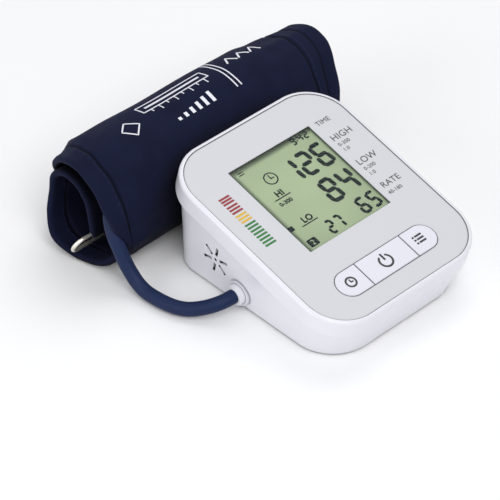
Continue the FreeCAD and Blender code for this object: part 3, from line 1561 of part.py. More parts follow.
cloth = strip("cuff_strip", "dims.cuff_thick", "dims.cuff_width", True)
pocket_space = strip(
    "bladder_pocket",
    "dims.bladder_thick + 2 * dims.bladder_gap",
    f"{BLADDER_WIDTH} + 2 * dims.bladder_gap",
    False,
)
hem = rod(
    "ring_hem",
    "dims.cuff_thick / 2",
    "dims.cuff_width",
    ("-dims.cuff_width / 2", INNER_FRONT, "dims.ring_z"),
    "x",
)
hem_hole = rod(
    "ring_hem_hole",
    "dims.ring_wire + dims.ring_gap",
    "dims.cuff_width + 2",
    ("-dims.cuff_width / 2 - 1", INNER_FRONT, "dims.ring_z"),
    "x",
)
notch = rod(
    "hose_notch",
    "dims.notch_radius",
    f"dims.cuff_half + {INNER_FRONT} - dims.cuff_thick / 2 - 2",
    ("dims.notch_deep - dims.cuff_width / 2 - dims.notch_radius", "-dims.cuff_half - 1", "dims.notch_z"),
    "y",
)
# The corners come off the outer turn alone: what lies within it is kept.
WITHIN = "(dims.cuff_half - dims.cuff_thick - dims.roll_gap / 2)"
corners = []
for side, sign in (("left", "-1"), ("right", "1")):
    middle = f"{sign} * (dims.cuff_width / 2 - dims.corner_radius)"
    block = box(
        f"corner_{side}",
        ("dims.corner_radius + 1", "dims.cuff_half + 1", "dims.corner_radius + 1"),
        (f"{middle} + ({sign} - 1) / 2 * (dims.corner_radius + 1)", "0", "dims.tail_low - 1"),
    )
    arc = rod(
        f"corner_arc_{side}",
        "dims.corner_radius + 0.6",
        "dims.cuff_half + 3",
        (middle, "-1", "dims.tail_low + dims.corner_radius"),
        "y",
    )
    inside = rod(
        f"within_{side}",
        WITHIN,
        "dims.cuff_width + 4",
        ("-dims.cuff_width / 2 - 2", "0", TOP_BEND_Z),
        "x",
    )
    below = box(
        f"below_{side}",
        ("dims.cuff_width + 4", f"{WITHIN} + 1", f"{TOP_BEND_Z} - dims.tail_low + 2"),
        ("-dims.cuff_width / 2 - 2", "-1", "dims.tail_low - 2"),
    )
    corners.append(cut(f"corner_cut_{side}", block, arc, inside, below))
cuff = cut("cuff_cut", fuse("cuff_cloth", cloth, hem), pocket_space, hem_hole, notch, *corners)
move(cuff, ("0", CUFF_Y, "0"))
finish(cuff, "cuff_wrap")
bladder = strip("bladder_strip", "dims.bladder_thick", BLADDER_WIDTH, False)
move(bladder, ("0", CUFF_Y, "0"))
finish(bladder, "cuff_bladder")
patch = box("patch", (PATCH_WIDTH, "dims.patch_thick", "dims.patch_length"), ("0", "0", "0"))
move(
    patch,
    (
        f"-{PATCH_WIDTH} / 2",
        f"{CUFF_Y} + dims.cuff_half - dims.cuff_thick - dims.patch_thick",
        "dims.tail_low + 1",
    ),
)
finish(patch, "hook_patch")

# Cuff ring: a long wire loop whose upper wire turns in the hem of the strip.
RING_X = "(dims.cuff_width / 2 + dims.ring_out)"
ring_wires = [
    rod("ring_upper", "dims.ring_wire", f"2 * {RING_X}", (f"-{RING_X}", "0", "0"), "x"),
    rod("ring_lower", "dims.ring_wire", f"2 * {RING_X}", (f"-{RING_X}", "0", "-dims.ring_width"), "x"),
]
for side, sign in (("left", "-1"), ("right", "1")):
    x = f"{sign} * {RING_X}"
    ring_wires.append(rod(f"ring_{side}", "dims.ring_wire", "dims.ring_width", (x, "0", "-dims.ring_width")))
    for end, z in (("top", "0"), ("low", "-dims.ring_width")):
        ball = doc.addObject("Part::Sphere", f"ring_ball_{side}_{end}")
        bind(ball, "Radius", "dims.ring_wire")
        move(ball, (x, "0", z))
        ring_wires.append(ball)
ring = fuse("ring_whole", *ring_wires)
ring.Placement = Placement(Vector(), Rotation(Vector(1, 0, 0), 38))
bind(ring, "Placement.Rotation.Angle", "dims.ring_tilt")
move(ring, ("0", f"{CUFF_Y} + {INNER_FRONT}", "dims.ring_z"))
finish(ring, "cuff_ring")

# Air hose from the bladder fitting to the plug; its route is set by hand, as steps from the left end of the
# cuff and from the plug.
PLUG_FACE = "(dims.monitor_x - dims.port_boss_x - dims.fit_gap)"
PORT_Y = f"(dims.monitor_y + {PORT})"
HOSE_FROM_CUFF = [
    (19.5, -13.4, 33.5),
    (9.5, -13.4, 33.5),
    (5.4, -20.4, 26.0),
    (5.8, -24.1, 19.5),
    (6.2, -28.2, 11.5),
    (6.8, -36.4, 3.7),
]
HOSE_FROM_PLUG = [
    (-20.5, 25.0, -5.7),
    (-18.2, 15.3, -5.7),
    (-13.9, 8.5, -4.7),
    (-6.7, 0.0, 0.0),
    (0.0, 0.0, 0.0),
]
cuff_left = Vector(-size("dims.cuff_width / 2"), size(CUFF_Y), 0)
plug_back = Vector(
    size(f"{PLUG_FACE} - dims.plug_flange - dims.plug_neck"),
    size(PORT_Y),
    size("dims.port_z"),
)
HOSE_ROUTE = [cuff_left + Vector(*step) for step in HOSE_FROM_CUFF]
HOSE_ROUTE += [plug_back + Vector(*step) for step in HOSE_FROM_PLUG]
hose = swept("hose_sweep", HOSE_ROUTE, size("dims.hose_radius"))
finish(hose, "air_hose")
plug_parts = [
    rod(
        "plug_disc",
        "dims.plug_flange_radius",
        "dims.plug_flange",
        (f"{PLUG_FACE} - dims.plug_flange", PORT_Y, "dims.port_z"),
        "x",
    ),
    rod(
        "plug_collar",
        "dims.plug_neck_radius",
        "dims.plug_neck",
        (f"{PLUG_FACE} - dims.plug_flange - dims.plug_neck", PORT_Y, "dims.port_z"),
        "x",
    ),
    rod(
        "plug_nose",
        "dims.socket_bore - dims.fit_gap",
        "dims.plug_nose",
        (PLUG_FACE, PORT_Y, "dims.port_z"),
        "x",
    ),
]
SEAL_X = f"({PLUG_FACE} + dims.plug_nose * 0.6)"
SEAL_RING = "(dims.socket_bore - dims.fit_gap / 2 - dims.seal_wire)"


def ring_solid(label, section):
    """A ring round the plug's axis."""
    item = doc.addObject("Part::Torus", label)
    item.Placement = Placement(Vector(), TURNS["x"])
    bind(item, "Radius1", SEAL_RING)
    bind(item, "Radius2", section)
    move(item, (SEAL_X, PORT_Y, "dims.port_z"))
    return item


plug_groove = ring_solid("plug_groove", "dims.seal_wire + 0.05")
plug_way = rod("plug_way", "1", "dims.plug_nose", (PLUG_FACE, PORT_Y, "dims.port_z"), "x")
finish(cut("plug_cut", fuse("plug_blank", *plug_parts), plug_groove, plug_way), "air_plug")
finish(ring_solid("seal_ring", "dims.seal_wire"), "plug_seal")

# Bladder fitting: a flange on the inside of the outer turn, a neck and an elbow to the hose.
hose_x, hose_y, hose_z = HOSE_ROUTE[0]
FITTING_Y = f"({CUFF_Y} - dims.cuff_half + dims.cuff_thick + dims.fitting_gap)"
NECK_X = f"({hose_x} + dims.fitting_elbow - dims.fitting_neck)"
fitting_base = rod(
    "fitting_base",
    "dims.fitting_radius",
    "dims.fitting_flange",
    (NECK_X, FITTING_Y, f"{hose_z} - dims.fitting_drop"),
    "y",
)
fitting_neck = rod(
    "fitting_neck",
    "dims.fitting_neck",
    f"{hose_y} - {FITTING_Y}",
    (NECK_X, FITTING_Y, hose_z),
    "y",
)
fitting_elbow = rod(
    "fitting_elbow",
    "dims.fitting_neck + dims.fitting_step",
    "dims.fitting_elbow + dims.fitting_step",
    (hose_x, hose_y, hose_z),
    "x",
)
finish(fuse("fitting_whole", fitting_base, fitting_neck, fitting_elbow), "bladder_fitting")

doc.recompute()
problems = []
for item in doc.Objects:
    if any(word in item.State for word in ("Invalid", "Error")):
        problems.append(f"{item.Label}: {item.State}")
for item in pieces:
    if item.Shape.isNull() or not item.Shape.isValid() or not item.Shape.Solids:
        problems.append(f"{item.Label}: bad shape")
if problems:
    raise RuntimeError("; ".join(problems))
os.makedirs("parts", exist_ok=True)
for item in pieces:
    item.Shape.exportStep(f"parts/{item.Label}.step")
print(len(pieces), "pieces")
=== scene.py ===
import math

import bpy
from bpy.props import FloatProperty, FloatVectorProperty, PointerProperty
from mathutils import Matrix, Vector, noise


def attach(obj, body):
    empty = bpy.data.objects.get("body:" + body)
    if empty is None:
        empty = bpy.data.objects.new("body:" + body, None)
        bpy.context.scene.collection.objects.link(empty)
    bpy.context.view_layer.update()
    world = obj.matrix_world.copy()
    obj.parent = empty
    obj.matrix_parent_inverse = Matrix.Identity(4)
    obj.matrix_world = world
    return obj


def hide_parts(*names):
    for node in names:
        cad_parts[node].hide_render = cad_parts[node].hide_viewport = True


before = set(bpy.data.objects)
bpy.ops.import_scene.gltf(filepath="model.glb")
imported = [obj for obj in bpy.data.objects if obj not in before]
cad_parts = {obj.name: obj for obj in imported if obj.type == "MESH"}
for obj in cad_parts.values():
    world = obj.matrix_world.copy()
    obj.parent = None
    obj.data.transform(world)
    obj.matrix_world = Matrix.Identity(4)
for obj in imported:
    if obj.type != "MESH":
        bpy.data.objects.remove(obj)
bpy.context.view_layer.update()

bl_info = {
    "name": "Arm blood pressure monitor",
    "version": (1, 0, 0),
    "blender": (4, 5, 0),
    "location": "View3D > Sidebar > Monitor",
    "description": "Dresses the solids of a desktop blood pressure monitor and its rolled arm cuff",
    "category": "Object",
}

MM = 0.001

# The face plate's own frame: u to the right, v up the face, the third axis out of the plate.
FACE = Matrix.Translation((0.005, -0.02602, 0.03875)) @ Matrix.Rotation(math.radians(14.5), 4, "X")
# The cuff ring's own frame: the first axis along its upper wire, the third across the loop.
RING = Matrix.Translation((0, 0.0491, 0.0157)) @ Matrix.Rotation(math.radians(27), 4, "X")

# Half sizes and corner of the face plate, and middle and half sizes of the display's window in it.
PLATE_HALF = Vector((0.045, 0.0541, 0))
PLATE_CORNER = 0.019
WINDOW_MIDDLE = Vector((0, 0.01055, 0))
WINDOW_HALF = Vector((0.0242, 0.02625, 0))
# Middle of the sound slots in the left wall, and how far from it the slots' painted shade reaches.
SLOTS_MIDDLE = Vector((0, -0.0031, 0.0186))
SLOT_SHADE_REACH = 0.0085
# Where the pale band of a dry cell starts, along Y.
CELL_BAND = -0.0234
# Heights of the display's glass and of the buttons' tops over the face plate, in millimetres.
GLASS_HEIGHT = -1.2
BUTTON_HEIGHT = 0.4
# Text size over the height of its capitals.
TEXT_SIZE = 1.44

# The camera: what it looks at, from how far, its turn from the front, its rise and its lens.
CAMERA_AIM = Vector((-0.02913, -0.01464, 0.0256))
CAMERA_DISTANCE = 1.11426
CAMERA_TURN = math.radians(-43.55)
CAMERA_RISE = math.radians(40.15)
CAMERA_LENS = 188.26


def linear(code):
    """sRGB hex text as linear red, green and blue."""
    shares = [int(code[at:at + 2], 16) / 255 for at in (0, 2, 4)]
    return tuple(c / 12.92 if c <= 0.04045 else ((c + 0.055) / 1.055) ** 2.4 for c in shares)


def length(label, note, default):
    """A length that a user may change."""
    return FloatProperty(name=label, description=note, default=default, min=0, unit="LENGTH", precision=5)


def colour(label, note, code):
    """A colour that a user may change."""
    return FloatVectorProperty(
        name=label, description=note, default=linear(code), size=3, min=0, max=1, subtype="COLOR"
    )


class CuffSizes(bpy.types.PropertyGroup):
    """Sizes of the rolled arm cuff."""

    left: length("Left end", "Left end of the strip from the middle", 0.0685)
    right: length("Right end", "Right end of the strip from the middle", 0.0715)
    thickness: length("Thickness", "Cloth with bladder and lining", 0.0045)
    hem: length("Hem thickness", "Cloth at the sewn hems", 0.0032)
    left_seam: length("Left seam", "Left hem seam from the middle", 0.0605)
    right_seam: length("Right seam", "Right hem seam from the middle", 0.0585)
    right_fold: length("Right fold", "Second fold of the right hem from the middle", 0.065)
    corner: length("Corner", "Radius of the free end's corners", 0.026)
    notch: length("Notch", "How far the hem gives way where the hose leaves", 0.0085)
    bladder: length("Bladder", "Half width of the air bladder", 0.0565)
    bladder_thickness: length("Bladder thickness", "The flat bladder", 0.002)
    patch: length("Patch", "Half width of the hook patch", 0.048)
    wrinkle: length("Wrinkles", "Height of the soft wrinkles", 0.0011)
    curl: length("Curl", "How far the left hem curls in over the top", 0.0024)
    stitch: length("Stitch", "Length of one stitch with its gap", 0.0032)


class RingSizes(bpy.types.PropertyGroup):
    """Sizes of the cuff's wire loop."""

    wire: length("Wire", "Radius of the wire", 0.0009)
    width: length("Width", "Loop across, wire to wire", 0.009)
    reach: length("Reach", "End of the loop from the middle, to the wire", 0.0725)


class HoseSizes(bpy.types.PropertyGroup):
    """Sizes of the air hose."""

    diameter: length("Diameter", "Outside of the hose", 0.0065)
    length: length("Length", "Hose from the cuff to the plug", 0.094)


class PrintSizes(bpy.types.PropertyGroup):
    """Sizes of the printed marks and of the display's figures."""

    ink: length("Ink", "Thickness of the screen print", 0.00005)
    segment: length("Segment", "Thickness of a display segment", 0.00004)
    line: length("Line", "Width of the printed lines on the cuff", 0.00065)
    cloth_ink: length("Cloth ink", "Thickness of the print on the cuff", 0.00008)


class Colours(bpy.types.PropertyGroup):
    """Colours of the pieces that show."""

    case: colour("Case", "Gloss white case", "E4E4EB")
    plate: colour("Face plate", "Satin grey face plate", "CECFD3")
    button: colour("Buttons", "Satin white buttons", "DDDDE7")
    display: colour("Display", "Reflective display ground", "C1D5AB")
    segment: colour("Segments", "Lit display segments", "0A1E20")
    ink: colour("Ink", "Dark screen print", "3A3A40")
    high: colour("High bars", "Upper bars of the scale", "8F1828")
    middle: colour("Middle bars", "Middle bars of the scale", "D9AE22")
    low: colour("Low bars", "Lower bars of the scale", "15702B")
    cuff: colour("Cuff", "Nylon cloth", "0D1126")
    cuff_light: colour("Cuff threads", "Lit threads of the cloth", "151A36")
    cuff_print: colour("Cuff print", "White print on the cloth", "E9EAF2")
    hose: colour("Hose", "Soft navy hose", "142347")
    ring: colour("Cuff ring", "Nickel wire", "EFEBE0")
    floor: colour("Floor", "Pale floor", "FDFDFD")


def sizes(name):
    """One of the scene's property groups."""
    return getattr(bpy.context.scene, name)


# Materials.


def per(millimetres):
    """Texture scale at which one feature of a pattern has this size."""
    return 1000 / millimetres


def add(tree, kind, inputs=None, links=None, **settings):
    """Adds a shader node with its settings, input values and links."""
    item = tree.nodes.new("ShaderNode" + kind)
    for name, value in settings.items():
        setattr(item, name, value)
    for name, value in (inputs or {}).items():
        item.inputs[name].default_value = value
    for name, source in (links or {}).items():
        tree.links.new(source, item.inputs[name])
    return item


def surface(name, **inputs):
    """A new material: its node tree, its shader and its Object coordinates."""
    material = bpy.data.materials.new(name)
    material.use_nodes = True
    tree = material.node_tree
    shader = next(item for item in tree.nodes if item.type == "BSDF_PRINCIPLED")
    for label, value in inputs.items():
        shader.inputs[label.replace("_", " ")].default_value = value
    place = add(tree, "TexCoord").outputs["Object"]
    return material, tree, shader, place


def shade(rgb, factor):
    """A colour made lighter or darker, as four values."""
    return (*(min(1, c * factor) for c in rgb), 1)


def mottled(name, rgb, spread, patch, grain, depth, roughness, crevice_shade=0.0, **inputs):
    """A moulded or painted surface: soft patches of two near colours and a fine grain in the gloss.

    Gaps and slots narrower than the given width in millimetres get painted shade: ambient occlusion darkens
    the colour there.
    """
    material, tree, shader, place = surface(name, **inputs)
    cloud = add(tree, "TexNoise", {"Scale": per(patch), "Detail": 3.0}, {"Vector": place})
    tint = add(
        tree, "Mix", {6: shade(rgb, 1 - spread), 7: shade(rgb, 1 + spread)}, {0: cloud.outputs[0]},
        data_type="RGBA",
    )
    tone = tint.outputs[2]
    # Painted shade: ambient occlusion darkens the colour in narrow gaps and slots.
    if crevice_shade:
        painted_gap_shade = add(tree, "AmbientOcclusion", {"Distance": crevice_shade * MM}, {"Color": tone}, samples=8)
        tone = painted_gap_shade.outputs["Color"]
    tree.links.new(tone, shader.inputs["Base Color"])
    fine = add(tree, "TexNoise", {"Scale": per(grain), "Detail": 2.0}, {"Vector": place})
    gloss = add(
        tree, "MapRange", {"To Min": roughness * 0.88, "To Max": roughness * 1.12}, {"Value": fine.outputs[0]}
    )
    tree.links.new(gloss.outputs[0], shader.inputs["Roughness"])
    bump = add(tree, "Bump", {"Strength": 0.25, "Distance": depth * MM}, {"Height": fine.outputs[0]})
    tree.links.new(bump.outputs[0], shader.inputs["Normal"])
    return material


def lay_over(material, code, factor):
    """Lays another colour over a material where a pattern says so."""
    tree = material.node_tree
    base = next(item for item in tree.nodes if item.type == "BSDF_PRINCIPLED").inputs["Base Color"]
    mix = add(
        tree, "Mix", {7: (*linear(code), 1)}, {0: factor, 6: base.links[0].from_socket}, data_type="RGBA"
    )
    tree.links.new(mix.outputs[2], base)


def white_abs():
    """Gloss ABS from a polished mould: deep white with faint lavender, slightly wavy reflections, and painted
    shade in its gaps and sound slots.
    """
    material = mottled(
        "gloss_white_abs", sizes("monitor_colours").case, spread=0.012, patch=28, grain=5, depth=0.02,
        roughness=0.24, crevice_shade=1.2, IOR=1.54,
    )
    # Painted shade: the sound slots are narrow and deep, so their walls are painted near black.
    tree = material.node_tree
    place = add(tree, "TexCoord").outputs["Object"]
    centred = add(tree, "Mapping", {"Location": -SLOTS_MIDDLE, "Scale": (0, 1, 1)}, {"Vector": place})
    reach = add(tree, "VectorMath", None, {0: centred.outputs[0]}, operation="LENGTH")
    near = add(tree, "Math", {1: SLOT_SHADE_REACH}, {0: reach.outputs["Value"]}, operation="LESS_THAN")
    sky = add(tree, "AmbientOcclusion", {"Distance": 1.5 * MM}, samples=8)
    shut = add(
        tree, "MapRange", {"From Min": 0.74, "From Max": 0.97, "To Min": 1, "To Max": 0},
        {"Value": sky.outputs["AO"]},
    )
    dark = add(tree, "Math", None, {0: near.outputs[0], 1: shut.outputs[0]}, operation="MULTIPLY")
    lay_over(material, "0B0B0E", dark.outputs[0])
    return material


def from_middle(tree, place, middle):
    """How far a place is from a point of the face plate to the side and up the face, without a sign."""
    flat = add(
        tree, "Mapping", {"Location": FACE @ middle, "Rotation": FACE.to_euler()}, {"Vector": place},
        vector_type="TEXTURE",
    )
    return add(tree, "VectorMath", None, {0: flat.outputs[0]}, operation="ABSOLUTE").outputs[0]


def plate_paint():
    """Silver-grey paint on ABS, sprayed: an even satin with a fine speckle, a thin painted shadow line just
    inside its edge, and painted shade in its gaps.
    """
    material = mottled(
        "satin_grey_paint", sizes("monitor_colours").plate, spread=0.02, patch=0.7, grain=0.6, depth=0.02,
        roughness=0.46, crevice_shade=1.2, IOR=1.5,
    )
    # Distance from the middles of the plate's rounded corners.
    tree = material.node_tree
    place = add(tree, "TexCoord").outputs["Object"]
    away = from_middle(tree, place, Vector())
    inner = PLATE_HALF - Vector((PLATE_CORNER, PLATE_CORNER, -1))
    past = add(tree, "VectorMath", {1: inner}, {0: away}, operation="SUBTRACT")
    outer = add(tree, "VectorMath", {1: (0, 0, 0)}, {0: past.outputs[0]}, operation="MAXIMUM")
    reach = add(tree, "VectorMath", None, {0: outer.outputs[0]}, operation="LENGTH")
    # Painted shadow of the gap round the plate: a thin dark grey line just inside the plate's edge.
    line = {"From Min": PLATE_CORNER - 0.45 * MM, "From Max": PLATE_CORNER - 0.2 * MM}
    edge = add(tree, "MapRange", line, {"Value": reach.outputs["Value"]})
    lay_over(material, "6E6E74", edge.outputs[0])
    return material


def button_abs():
    """Satin ABS from an etched mould: soft highlights, a little bluer than the case."""
    # Painted shade: ambient occlusion darkens the colour in gaps within 1.6 mm.
    return mottled(
        "satin_white_abs", sizes("monitor_colours").button, spread=0.012, patch=9, grain=0.5, depth=0.015,
        roughness=0.4, crevice_shade=1.6, IOR=1.54,
    )


def door_abs():
    """White ABS from an eroded mould: matt, with a grain that shows close up."""
    # Painted shade: ambient occlusion darkens the colour in gaps within 1.6 mm.
    return mottled(
        "grained_white_abs", sizes("monitor_colours").case, spread=0.015, patch=12, grain=0.8, depth=0.05,
        roughness=0.55, crevice_shade=1.6, IOR=1.54,
    )


def clear_acrylic():
    """Thin clear acrylic: nearly all shows through, with a weak sharp reflection."""
    return mottled(
        "clear_acrylic", linear("2A302C"), spread=0.05, patch=20, grain=6, depth=0.004, roughness=0.06,
        IOR=1.49, Alpha=0.1,
    )


def display_ground():
    """Reflective liquid crystal ground: grey green, dull polariser film, paler in the middle under a painted
    pool of light and darker under the window's edge with a painted shadow.
    """
    rgb = sizes("monitor_colours").display
    material, tree, shader, place = surface("display_ground", Specular_IOR_Level=0.2)
    cloud = add(tree, "TexNoise", {"Scale": per(26), "Detail": 1.5}, {"Vector": place})
    # Painted light: the colour is paler towards a spot near the middle and fades out over 42 mm, a pool of
    # light painted in.
    middle = add(tree, "Mapping", {"Location": (-0.002, 0.012, -0.042)}, {"Vector": place})
    far = add(tree, "VectorMath", None, {0: middle.outputs[0]}, operation="LENGTH")
    fall = add(
        tree, "MapRange", {"From Max": 0.042, "To Min": 1.4, "To Max": 0.0}, {"Value": far.outputs["Value"]}
    )
    both = add(tree, "Math", None, {0: cloud.outputs[0], 1: fall.outputs[0]}, operation="MULTIPLY")
    tint = add(
        tree, "Mix", {6: shade(rgb, 0.84), 7: shade(rgb, 1.25)}, {0: both.outputs[0]}, data_type="RGBA"
    )
    tree.links.new(tint.outputs[2], shader.inputs["Base Color"])
    film = add(tree, "TexNoise", {"Scale": per(0.5), "Detail": 1.0}, {"Vector": place})
    gloss = add(tree, "MapRange", {"To Min": 0.4, "To Max": 0.55}, {"Value": film.outputs[0]})
    tree.links.new(gloss.outputs[0], shader.inputs["Roughness"])
    # Painted shadow: the window's edge keeps the light off the sunk ground, most at the left and the top, so
    # the ground is painted dark there.
    away = from_middle(tree, place, WINDOW_MIDDLE + Vector((1, -1, 0)) * MM)
    past = add(tree, "VectorMath", {1: WINDOW_HALF}, {0: away}, operation="SUBTRACT")
    sides = add(tree, "SeparateXYZ", None, {0: past.outputs[0]})
    near = add(tree, "Math", None, {0: sides.outputs["X"], 1: sides.outputs["Y"]}, operation="MAXIMUM")
    painted_window_shadow = add(
        tree, "MapRange", {"From Min": -2.6 * MM, "From Max": 0.2 * MM, "To Max": 0.85},
        {"Value": near.outputs[0]}, interpolation_type="SMOOTHSTEP",
    )
    lay_over(material, "2C3A2E", painted_window_shadow.outputs[0])
    return material


def printed(name, rgb, roughness=0.5, shine=0.5):
    """Screen ink: flat colour with a faint mesh mark and a soft gloss."""
    return mottled(
        name, rgb, spread=0.06, patch=1.2, grain=0.3, depth=0.01, roughness=roughness,
        Specular_IOR_Level=shine,
    )


def rubber(name, code, roughness):
    """Moulded rubber: dull, slightly dusty, with a fine open grain."""
    return mottled(
        name, linear(code), spread=0.12, patch=4, grain=0.4, depth=0.04, roughness=roughness, IOR=1.52
    )


def plastic(name, code, roughness):
    """Plain moulded plastic of the hidden pieces: slightly uneven gloss."""
    return mottled(
        name, linear(code), spread=0.03, patch=6, grain=0.7, depth=0.02, roughness=roughness, IOR=1.5
    )


def metal(name, rgb, roughness, stretch):
    """Drawn or rolled metal: fine lines along one axis that streak the reflections."""
    material, tree, shader, place = surface(name, Metallic=1.0)
    turned = add(tree, "Mapping", {"Scale": stretch}, {"Vector": place})
    lines = add(tree, "TexNoise", {"Scale": per(0.5), "Detail": 3.0}, {"Vector": turned.outputs[0]})
    tint = add(
        tree, "Mix", {6: shade(rgb, 0.86), 7: shade(rgb, 1.08)}, {0: lines.outputs[0]}, data_type="RGBA"
    )
    tree.links.new(tint.outputs[2], shader.inputs["Base Color"])
    gloss = add(
        tree, "MapRange", {"To Min": roughness * 0.75, "To Max": roughness * 1.3}, {"Value": lines.outputs[0]}
    )
    tree.links.new(gloss.outputs[0], shader.inputs["Roughness"])
    return material


def circuit_laminate():
    """Glass laminate under green solder mask: glossy, with paler copper runs showing through."""
    material, tree, shader, place = surface("circuit_laminate", IOR=1.55, Roughness=0.35)
    runs = add(
        tree, "TexBrick",
        {"Scale": per(9), "Color1": (*linear("1C5E38"), 1), "Color2": (*linear("226B41"), 1),
         "Mortar": (*linear("2F8552"), 1), "Mortar Size": 0.05},
        {"Vector": place},
    )
    tree.links.new(runs.outputs[0], shader.inputs["Base Color"])
    return material


def cell_sleeve():
    """Plain shrink sleeve of a dry cell: grey gloss film with a paler band at one end."""
    material, tree, shader, place = surface("cell_sleeve", IOR=1.5, Roughness=0.3)
    along_cell = add(tree, "SeparateXYZ", None, {0: place})
    band = add(tree, "Math", {1: CELL_BAND}, {0: along_cell.outputs["Y"]}, operation="GREATER_THAN")
    film = add(tree, "TexNoise", {"Scale": per(5)}, {"Vector": place})
    grey = add(
        tree, "Mix", {6: (*linear("5C6067"), 1), 7: (*linear("676B73"), 1)}, {0: film.outputs[0]},
        data_type="RGBA",
    )
    tint = add(
        tree, "Mix", {7: (*linear("C9CDD2"), 1)}, {0: band.outputs[0], 6: grey.outputs[2]}, data_type="RGBA"
    )
    tree.links.new(tint.outputs[2], shader.inputs["Base Color"])
    return material


def hose_vinyl():
    """Soft extruded vinyl: even navy with a broad soft highlight and faint drawing marks."""
    return mottled(
        "navy_vinyl", sizes("monitor_colours").hose, spread=0.08, patch=6, grain=1.5, depth=0.03,
        roughness=0.5, Specular_IOR_Level=0.2,
    )


def seam_distance(tree, across, seam):
    """How far a place across the cloth is from a seam."""
    away = add(tree, "Math", {1: seam}, {0: across}, operation="SUBTRACT")
    return add(tree, "Math", None, {0: away.outputs[0]}, operation="ABSOLUTE").outputs[0]


def cuff_nylon():
    """Woven nylon taffeta: near-black navy, a soft sheen at grazing light, a plain weave and sewn hems, with
    painted shade inside the roll and a painted shadow along the seams.

    The threads are 0.35 mm in life and are drawn at 0.8 mm, because finer ones don't show in the render.
    """
    tones, cuff = sizes("monitor_colours"), sizes("monitor_cuff")
    material, tree, shader, _ = surface(
        "navy_nylon", Roughness=0.8, Specular_IOR_Level=0.1, Sheen_Weight=0.02, Sheen_Roughness=0.45
    )
    shader.inputs["Sheen Tint"].default_value = (*linear("8890B0"), 1)
    cloth = add(tree, "UVMap", uv_map="cloth").outputs[0]
    pair = add(tree, "SeparateXYZ", None, {0: cloth})
    waves = []
    for axis in ("X", "Y"):
        turns = add(tree, "Math", {1: 2 * math.pi * per(0.8)}, {0: pair.outputs[axis]}, operation="MULTIPLY")
        waves.append(add(tree, "Math", None, {0: turns.outputs[0]}, operation="SINE"))
    weave = add(tree, "Math", None, {0: waves[0].outputs[0], 1: waves[1].outputs[0]}, operation="MULTIPLY")
    wear = add(tree, "TexNoise", {"Scale": per(14), "Detail": 4.0}, {"Vector": cloth})
    lit = add(tree, "Math", {1: 0.16}, {0: weave.outputs[0], 2: wear.outputs[0]}, operation="MULTIPLY_ADD")
    ground = add(
        tree, "Mix", {6: (*tones.cuff, 1), 7: (*tones.cuff_light, 1)}, {0: lit.outputs[0]}, data_type="RGBA"
    )
    # Painted shade: the roll's inside is painted darker where ambient occlusion finds it closed, and a
    # painted shadow line runs along the grooves of the seams.
    sky = add(tree, "AmbientOcclusion", {"Distance": 24 * MM}, samples=8)
    light = add(tree, "MapRange", {"From Min": 0.2, "From Max": 0.92}, {"Value": sky.outputs["AO"]})
    deep = add(
        tree, "Mix", {6: (*linear("05060C"), 1)}, {0: light.outputs[0], 7: ground.outputs[2]},
        data_type="RGBA",
    )
    seam_shadow_lines = []
    for seam in (-cuff.left_seam, cuff.right_seam, cuff.right_fold):
        near = seam_distance(tree, pair.outputs["Y"], seam)
        seam_shadow_lines.append(
            add(tree, "MapRange", {"From Max": 1.0 * MM, "To Min": 0.7, "To Max": 0.0}, {"Value": near})
        )
    first = add(tree, "Math", None, {0: seam_shadow_lines[0].outputs[0], 1: seam_shadow_lines[1].outputs[0]}, operation="MAXIMUM")
    seam_shadow = add(tree, "Math", None, {0: first.outputs[0], 1: seam_shadow_lines[2].outputs[0]}, operation="MAXIMUM")
    shadow = add(
        tree, "Mix", {7: (*linear("04050B"), 1)}, {0: seam_shadow.outputs[0], 6: deep.outputs[2]}, data_type="RGBA"
    )
    # Stitches: short dashes beside each hem seam.
    dash = add(tree, "Math", {1: cuff.stitch}, {0: pair.outputs["X"]}, operation="MODULO")
    on = add(tree, "Math", {1: cuff.stitch * 0.68}, {0: dash.outputs[0]}, operation="LESS_THAN")
    rows = []
    for seam in (-cuff.left_seam - 1.7 * MM, cuff.right_seam + 1.7 * MM):
        near = seam_distance(tree, pair.outputs["Y"], seam)
        rows.append(add(tree, "Math", {1: 0.35 * MM}, {0: near}, operation="LESS_THAN"))
    either = add(tree, "Math", None, {0: rows[0].outputs[0], 1: rows[1].outputs[0]}, operation="MAXIMUM")
    stitch = add(tree, "Math", None, {0: either.outputs[0], 1: on.outputs[0]}, operation="MULTIPLY")
    part = add(tree, "Math", {1: 0.35}, {0: stitch.outputs[0]}, operation="MULTIPLY")
    tint = add(
        tree, "Mix", {7: (*linear("252B47"), 1)}, {0: part.outputs[0], 6: shadow.outputs[2]}, data_type="RGBA"
    )
    tree.links.new(tint.outputs[2], shader.inputs["Base Color"])
    rise = add(tree, "Math", {1: 2.0}, {0: stitch.outputs[0], 2: weave.outputs[0]}, operation="MULTIPLY_ADD")
    bump = add(tree, "Bump", {"Strength": 0.35, "Distance": 0.08 * MM}, {"Height": rise.outputs[0]})
    tree.links.new(bump.outputs[0], shader.inputs["Normal"])
    return material


def tape_hooks():
    """Hook tape: dense short plastic hooks, near black, that sparkle slightly."""
    return mottled(
        "hook_tape", linear("14172A"), spread=0.35, patch=0.9, grain=0.9, depth=0.3, roughness=0.55, IOR=1.5
    )


def dress(material, *nodes):
    """Gives CAD nodes a material."""
    for name in nodes:
        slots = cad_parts[name].data.materials
        slots.clear()
        slots.append(material)


def new_object(name, data):
    """A new object of the scene, the only one that is selected."""
    piece = bpy.data.objects.new(name, data)
    bpy.context.scene.collection.objects.link(piece)
    bpy.ops.object.select_all(action="DESELECT")
    piece.select_set(True)
    bpy.context.view_layer.objects.active = piece
    return piece


# Drawing of flat prints in edit mode, in the plate's own plane in millimetres.


